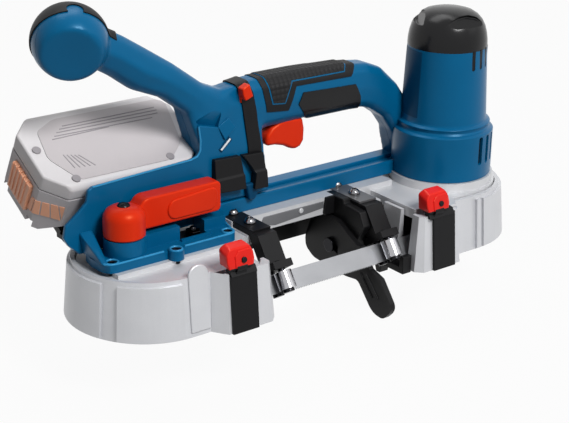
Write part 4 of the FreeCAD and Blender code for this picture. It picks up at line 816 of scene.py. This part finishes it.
# Battery: a lid with a raised field, fine lines and screws, and ribbed vents
LID_PLACE = Matrix(((1, 0, 0, 0), (0, 0.8746, -0.4848, 17.5), (0, 0.4848, 0.8746, 90),
                    (0, 0, 0, 1)))
LID_FIELD = [(-283, 58.5), (-298, 51), (-302, 27), (-290, 5), (-222, 5), (-207, 18), (-199, 54),
             (-204, 58.5)]
LID_FIELD_SPAN = (-0.6, 0.55)
LID_LINES = [(-279.6, 51, -209.5, 51.4), (-282.7, 48.8, -209, 48.6), (-285.9, 46.4, -209.7, 45.9),
             (-288.8, 43.8, -215.7, 42.8), (-291.5, 41.5, -249.3, 42.6)]
LID_STROKES = [(-290.9 + 2.4 * step, 27.4 - 0.65 * step, -288.8 + 3.55 * step, 15 - 0.35 * step)
               for step in range(5)]
LINE_HALF, LINE_SPAN = 0.35, (0.1, 0.72)
LID_SCREWS = [(-305.6, 35.8), (-292.1, 6.7), (-221.7, 7.5)]
LID_SCREW_RISE, LID_SCREW_RADIUS, LID_SCREW_DEPTH = 0.3, 2.9, 1.4
VENT_TOP = (Vector((44.8, 79)), Vector((22, 72.8)))
VENT_FOOT = (Vector((52.7, 69.9)), Vector((23.5, 60.5)))
VENT_SPAN, VENT_GAP_SPAN = (-314, -299), (-316, -296)
VENT_RIBS, VENT_GAP_HALF, VENT_LIFT = 6, 0.5, 0.4
# Upper and lower end of each rib
BUTTON_RIBS = [((46 + 4.4 * step, 92.4 + 1.1 * step), (58 + 3.6 * step, 71 + 2 * step))
               for step in range(5)]
BUTTON_RIB_SPAN, BUTTON_RIB_HALF, BUTTON_RIB_LIFT = (-318, -309), 0.9, 0.6


def on_lid(mesh):
    """Stands a mesh drawn on the flat on the battery's sloping lid."""
    bmesh.ops.transform(mesh, verts=mesh.verts, matrix=LID_PLACE)
    return mesh


def stroke(x0, v0, x1, v1):
    """A narrow bar on the lid between two points."""
    across = Vector((v0 - v1, x1 - x0)).normalized() * LINE_HALF
    ends = [(x0 + across.x, v0 + across.y), (x1 + across.x, v1 + across.y),
            (x1 - across.x, v1 - across.y), (x0 - across.x, v0 - across.y)]
    return on_lid(prism(ends, LINE_SPAN, "xy"))


def corner_vent():
    """A skin on the case's corner, parted into ribs."""
    area = prism([*VENT_TOP, *reversed(VENT_FOOT)], VENT_SPAN, "yz")
    vent = combined(lifted(copied("battery_case"), VENT_LIFT), area, "INTERSECT", "EXACT")
    for step in range(1, VENT_RIBS):
        high = VENT_TOP[0].lerp(VENT_TOP[1], step / VENT_RIBS)
        low = VENT_FOOT[0].lerp(VENT_FOOT[1], step / VENT_RIBS)
        gap = leaning_bar((high.x, high.y + 1), (low.x, low.y - 1), VENT_GAP_HALF)
        vent = combined(vent, prism(gap, VENT_GAP_SPAN, "yz"), "DIFFERENCE", "EXACT")
    return vent


def button_ribs():
    """Leaning ribs on the face of the release button."""
    bars = bmesh.new()
    for high, low in BUTTON_RIBS:
        prism(leaning_bar(high, low, BUTTON_RIB_HALF), BUTTON_RIB_SPAN, "yz", mesh=bars)
    return combined(lifted(copied("battery_button"), BUTTON_RIB_LIFT), bars, "INTERSECT", "EXACT")


softened("battery_case", "battery", PACK_CASE, 1.6)
softened("battery_lid", "battery", PACK_RIM, 1.6)
lid_field = slab(LID_FIELD, LID_FIELD_SPAN, 0.3, 2, "xy", corner=3)
piece("battery_lid_field", on_lid(lid_field), "battery", PACK_LID)
piece("battery_lid_lines", joined(*(stroke(*row) for row in LID_LINES + LID_STROKES)), "battery",
      PACK_LINE)
lid_screws = [drum((x, v, LID_SCREW_RISE), (0, 0, 1), LID_SCREW_RADIUS, LID_SCREW_DEPTH)
              for x, v in LID_SCREWS]
piece("battery_lid_screws", joined(*(on_lid(rolled(screw, 0.3)) for screw in lid_screws)),
      "battery", PACK_LINE)
piece("battery_corner_vent", corner_vent(), "battery", PACK_ORANGE)
softened("battery_button", "battery_button", PACK_ORANGE, 0.6)
piece("battery_button_ribs", button_ribs(), "battery_button", PACK_ORANGE)

# Nodes whose shape is right, with their edges rolled
softened("exit_guard", "right_cover", BLACK, 0.5)
softened("main_frame", "frame", DECK, 0.8)
softened("stop_screw", "frame", DARK_STEEL, 0.4)
softened("guide_arms", "frame", BLACK, 0.5)
softened("guide_bolts", "frame", DARK_STEEL, 0.25)
softened("guide_screws", "frame", SCREW, 0.6, 4)
softened("band_guard", "frame", BLACK, 0.5)


# Guide plates, which the CAD holds in one node
BETWEEN_PLATES = (-130, 0, 0)


def guide_plate(outward):
    """One of the two plates that carry the guides."""
    mesh = rolled(copied("guide_plates"), 0.4)
    cut_off(mesh, BETWEEN_PLATES, outward)
    return mesh


piece("guide_plate_left", guide_plate((1, 0, 0)), "frame", BLACK,
      ["guide_plates"])
piece("guide_plate_right", guide_plate((-1, 0, 0)), "frame", GUIDE_GREY)

# Tension plate: its tray lip, heel, recess and sunken screws
PLATE_TOP = 46.6
LIP_RADIUS = 0.8
LIP_LEFT = [(-293.4, 4), (-293.6, -7.5), (-292.6, -10.4), (-290.4, -12.4), (-286.8, -13.6),
            (-252, -13.6)]
LIP_RIGHT = [(-236, -13.6), (-200, -13.6), (-197, -12.6), (-195.4, -10), (-190.6, 8)]
HEEL = [(-294.4, -10, 46), (-294.4, 14.2, 46), (-285.5, 14.2, 46), (-291, -12, 46),
        (-297, 14.2, 61), (-287.5, 14.2, 61), (-294.8, -3, 52), (-292.4, -3.5, 52)]
RECESS = [(-232.2, -4.7), (-211.3, -4.7), (-211.3, 13.2), (-232.2, 13.2)]
RECESS_SPAN = (43.8, 44.5)
# Place of each screw, with the height of the face that it sits in
PLATE_SCREWS = [(-287.2, -9, 46.5), (-198.5, -8.5, 46.5), (-244.2, -16.2, 47.5)]
SCREW_RIM = [(4.7, -0.3), (4.6, 0.4), (4.2, 0.8), (3.6, 0.8), (3.2, 0.3), (3.2, -0.3),
             (4.7, -0.3)]
SCREW_HEAD = [(0, 0), (1.5, 0), (1.7, 0.4), (2.6, 0.3), (3.1, 0), (3.1, -0.4), (0, -0.4)]
SCREW_STEPS = 40
RECESS_NUT = (-219.5, 1.5)
NUT = [(0, 49.6), (3.2, 49.6), (5.4, 49), (5.4, 44.3), (0, 44.3)]
NUT_STUD = [(0, 51.4), (1.8, 51.2), (2.4, 50.4), (2.4, 49), (0, 49)]


def at_screws(profile):
    """A profile turned at each of the plate's screws."""
    return joined(bmesh.new(), *(
        turned([(radius, top + height) for radius, height in profile], x, y, SCREW_STEPS)
        for x, y, top in PLATE_SCREWS))


softened("tension_plate", "frame", BLUE, 1.1, 4)
# The lip bead is a lighter blue, a painted highlight along the tray's edge
lip = joined(*(bead([(x, y, PLATE_TOP) for x, y in line], LIP_RADIUS)
               for line in (LIP_LEFT, LIP_RIGHT)))
piece("plate_lip", lip, "frame", BLUE_PAINTED_HIGHLIGHT)
piece("plate_heel", rolled(hull(HEEL), 1.4, 4, sharper=20), "frame", BLUE)
# A black sheet on the recess floor is painted shade in the recess
piece("recess_shade", slab(RECESS, RECESS_SPAN, 0.2, plane="xy"), "frame", BLACK)
# The screws' rims are a lighter blue, painted highlights
piece("plate_screw_rims", at_screws(SCREW_RIM), "frame", BLUE_PAINTED_HIGHLIGHT)
heads = joined(at_screws(SCREW_HEAD), rolled(turned(NUT, *RECESS_NUT, 6), 0.3),
               turned(NUT_STUD, *RECESS_NUT, 32))
piece("plate_screw_heads", heads, "frame", DARK_STEEL, ["plate_screws"])

# Work stop with its rounded plate and finger, and the block behind it
FINGER_RIBS = [[(-33, 1), (-40, -6.5), (-46.5, -13.5)], [(-39, 1.5), (-46, -5.5), (-52.5, -12.5)]]
FINGER_FACE, FINGER_RIB_RADIUS = -103.1, 0.9
# Where the corners to be rounded lie: behind this on the plate, below that on the finger
PLATE_CORNERS_Y, FINGER_CORNERS_Z, CORNER_RADIUS = 10, -4, 5
STOP_BLOCK = [(12.6, 2.8), (12.6, 46.2), (-7, 46.2), (-8, 43), (-25, 41.9), (-30, 32), (-24, 22),
              (-20.5, 12), (-20, 2.8)]
STOP_WING = [(-108, 35), (-106.5, 46.1), (-93, 46.1), (-93, 33), (-107, 33)]
STOP_BLOCK_SPAN, STOP_WING_SPAN = (-98.85, -78.6), (2.4, 4.4)
RAIL_GROOVE = [(-163, 37.6), (-160, 43.4), (-107.5, 43.4), (-107.5, 38.4), (-150, 35.2)]
RAIL_GROOVE_SPAN = (3.5, 5)
RAIL_RIVET, RIVET_RADIUS, RIVET_DEPTH = (-128, 3.4, 41), 1.8, 1.6


def work_stop():
    """The stop, with the corners of its plate and of its finger well rounded."""
    mesh = copied("work_stop")
    corners = []
    for edge in mesh.edges:
        start, end = (vert.co for vert in edge.verts)
        middle = (start + end) / 2
        crosswise = abs((end - start).normalized().x) > 0.9
        if crosswise and (middle.y > PLATE_CORNERS_Y or middle.z < FINGER_CORNERS_Z):
            corners.append(edge)
    rolled(mesh, CORNER_RADIUS, 6, sharper=4, edges=corners)
    return rolled(mesh, 1.0)


piece("work_stop_form", work_stop(), "work_stop", BLACK, ["work_stop"])
finger_ribs = joined(*(bead([(FINGER_FACE, y, z) for y, z in line], FINGER_RIB_RADIUS)
                       for line in FINGER_RIBS))
piece("finger_ribs", finger_ribs, "work_stop", SOFT_BLACK)
block = joined(slab(STOP_BLOCK, STOP_BLOCK_SPAN, 1.0, plane="yz"),
               slab(STOP_WING, STOP_WING_SPAN, 0.4))
piece("stop_block", block, "frame", BLACK)
# A darker strip on the rail's face paints the shade in its groove
piece("rail_groove_shade", slab(RAIL_GROOVE, RAIL_GROOVE_SPAN, 0.4), "frame", GROOVE_SHADE)
rivet = drum(RAIL_RIVET, (0, -1, 0), RIVET_RADIUS, RIVET_DEPTH)
piece("rail_rivet", rolled(rivet, 0.4), "frame", DECK)

# Teeth along the open run of the band
TOOTH, TOOTH_TIP, TOOTH_GULLET, TOOTH_ROOT = 1.4, -7.3, -6.2, -5.5
RUN_START, RUN_END, RUN_TEETH = -168, -96.6, 51
BAND_HALF = 0.28
BAND_TURN = math.radians(-35)
BAND_PLACE = (0, -39.1, 15)
tips = [(RUN_START + TOOTH * step / 2, TOOTH_TIP if step % 2 else TOOTH_GULLET)
        for step in range(2 * RUN_TEETH + 1)]
teeth = prism([(RUN_START, TOOTH_ROOT), *tips, (RUN_END, TOOTH_ROOT)], (-BAND_HALF, BAND_HALF))
bmesh.ops.rotate(teeth, verts=teeth.verts, cent=(0, 0, 0),
                 matrix=Matrix.Rotation(BAND_TURN, 3, "X"))
bmesh.ops.translate(teeth, verts=teeth.verts, vec=BAND_PLACE)
piece("band_teeth", teeth, "frame", BAND)

# Tension lever: an arm with a raised panel on a domed boss
LEVER_AXIS = (-272, 0.5)
LEVER_ARM = [(-272, 59), (-199, 59), (-199, 80), (-258, 80), (-262, 74), (-272, 74)]
LEVER_FACE = [(-241, 61.8), (-203, 61.8), (-202, 77.4), (-241, 74.6)]
LEVER_ARM_SPAN, LEVER_FACE_SPAN = (-2, 11), (-3.2, 0)
LEVER_BOSS = [(0, 58), (12.6, 58), (13.5, 59), (13.5, 70), (12.9, 73), (11.2, 75.6), (8.5, 77.2),
              (5, 78), (0, 78.2)]
LEVER_DOME = [(0, 80.2), (1.6, 80.1), (3.4, 79.4), (4.1, 78.4), (4.2, 76), (0, 76)]
SHAFT_KEPT, SHAFT_KEPT_SPAN = [(-300, 20), (-250, 20), (-250, 77), (-300, 77)], (-20, 20)
lever = joined(slab(LEVER_ARM, LEVER_ARM_SPAN, 1.6, 4, corner=3.5),
               slab(LEVER_FACE, LEVER_FACE_SPAN, 0.9, 4, corner=6),
               turned(LEVER_BOSS, *LEVER_AXIS))
piece("tension_lever_form", lever, "lever", RED, ["tension_lever"])
shaft = combined(copied("lever_shaft"), prism(SHAFT_KEPT, SHAFT_KEPT_SPAN), "INTERSECT", "EXACT")
piece("lever_screw", joined(turned(LEVER_DOME, *LEVER_AXIS, SCREW_STEPS), shaft), "lever",
      DARK_STEEL, ["lever_shaft"])

# Nodes that keep their mesh and take a finish
KEPT = [
    (BLACK, ["switch_unit", "battery_dock"]),
    (BOARD, ["control_board"]),
    (WINDING, ["motor_stator"]),
    (DECK, ["gearbox_plate", "drive_wheel", "idler_wheel"]),
    (CHROME, ["motor_bearings", "drive_bearings", "idler_axle", "idler_bearings",
              "guide_roller_left_front", "guide_roller_left_back", "guide_roller_right_front",
              "guide_roller_right_back"]),
    (GEAR, ["ring_gear", "drive_spindle", "motor_rotor", "planet_gear_1", "planet_gear_2",
            "planet_gear_3"]),
    (BAND, ["saw_band"]),
    (TYRE, ["drive_tyre", "idler_tyre"]),
    (DARK_STEEL, ["idler_carriage"]),
]
for finish, kept_nodes in KEPT:
    for node in kept_nodes:
        shown = NODES[node].data
        shown.materials.clear()
        shown.materials.append(finish)

# Stage; lamps and camera are placed in metres
AMBIENT = 0.1
# Just under the covers when they are let down, in millimetres
FLOOR_Z = -45.6
FLOOR_X, FLOOR_HALF = -130, 6000
FLOOR_GREYS, FLOOR_CLOUDS = ((0.34, 0.34, 0.34, 1), (0.37, 0.37, 0.37, 1)), 6.0
# How much of the white background the floor shows over its own shade
FLOOR_WHITE = 0.95
# Place, point lit, width and height, and watts of each lamp
LAMPS = {
    "key_box": ((-0.12, -1.3, 1.4), (-0.14, 0, 0.06), (0.6, 0.6), 36.0),
    "side_box": ((0.9, -1.1, 0.9), (-0.1, 0, 0.07), (0.8, 0.8), 1.2),
    "top_box": ((-0.1, 0.5, 1.5), (-0.14, 0, 0.06), (1.2, 0.6), 8.0),
}
CAMERA_PLACE = (-0.70709, -0.72643, 0.40733)
CAMERA_TURN, CAMERA_DIP, CAMERA_ROLL = 37.73, 21.51, 0.91
FOCAL_LENGTH, SENSOR_WIDTH = 91.33, 36.0
NEAREST, FARTHEST = 0.05, 50.0


def floor():
    """A pale floor that takes the saw's shadow, and shows white beyond it."""
    mesh = bmesh.new()
    bmesh.ops.create_grid(mesh, x_segments=1, y_segments=1, size=FLOOR_HALF)
    bmesh.ops.translate(mesh, verts=mesh.verts, vec=(FLOOR_X, 0, FLOOR_Z))
    bmesh.ops.scale(mesh, vec=(MM, MM, MM), verts=mesh.verts)
    shape = baked("floor", mesh)
    finish = paint("pale_floor", roughness=0.9)
    finish.show(base_color=finish.blend(finish.noise(FLOOR_CLOUDS, 2.0), *FLOOR_GREYS))
    glow = finish.node("ShaderNodeEmission", {}, {"Color": (1, 1, 1, 1), "Strength": 1.0})
    lit = Link(finish, finish.shader.outputs[0])
    mix = finish.node("ShaderNodeMixShader", {}, {0: FLOOR_WHITE * finish.seen(), 1: lit, 2: glow})
    finish.feed(finish.tree.nodes["Material Output"].inputs["Surface"], mix)
    shape.materials.append(finish.owner)
    made = placed("floor", shape)


def world():
    """White to the eye and to reflections, a plain level of light to the rest."""
    sky = bpy.data.worlds.new("studio")
    back = Finish(sky, "Background", color=(1, 1, 1, 1))
    back.show(strength=AMBIENT + (1 - AMBIENT) * back.seen())
    bpy.context.scene.world = sky


def lamp(name, place, aim, size, power):
    """A soft box lamp turned on a point of the saw."""
    light = bpy.data.lights.new(name, "AREA")
    light.shape = "RECTANGLE"
    light.size, light.size_y = size
    light.energy = power
    made = placed(name, light)
    made.location = place
    aimed = Vector(aim) - Vector(place)
    made.rotation_euler = aimed.to_track_quat("-Z", "Y").to_euler()


def camera():
    """The photograph's view: 569 by 423, a long lens above the left front."""
    turn, dip, roll = map(math.radians, (CAMERA_TURN, CAMERA_DIP, CAMERA_ROLL))
    ahead = Vector((math.sin(turn) * math.cos(dip), math.cos(turn) * math.cos(dip),
                    -math.sin(dip)))
    level = Vector((math.cos(turn), -math.sin(turn), 0))
    rise = level.cross(ahead)
    right = math.cos(roll) * level + math.sin(roll) * rise
    above = -math.sin(roll) * level + math.cos(roll) * rise
    lens = bpy.data.cameras.new("camera")
    lens.lens, lens.sensor_width = FOCAL_LENGTH, SENSOR_WIDTH
    lens.clip_start, lens.clip_end = NEAREST, FARTHEST
    made = placed("camera", lens)
    facing = Matrix((right, above, -ahead)).transposed().to_4x4()
    made.matrix_world = Matrix.Translation(CAMERA_PLACE) @ facing
    bpy.context.scene.camera = made


floor()
world()
for lamp_name, settings in LAMPS.items():
    lamp(lamp_name, *settings)
camera()
bpy.context.scene.view_settings.view_transform = "Standard"
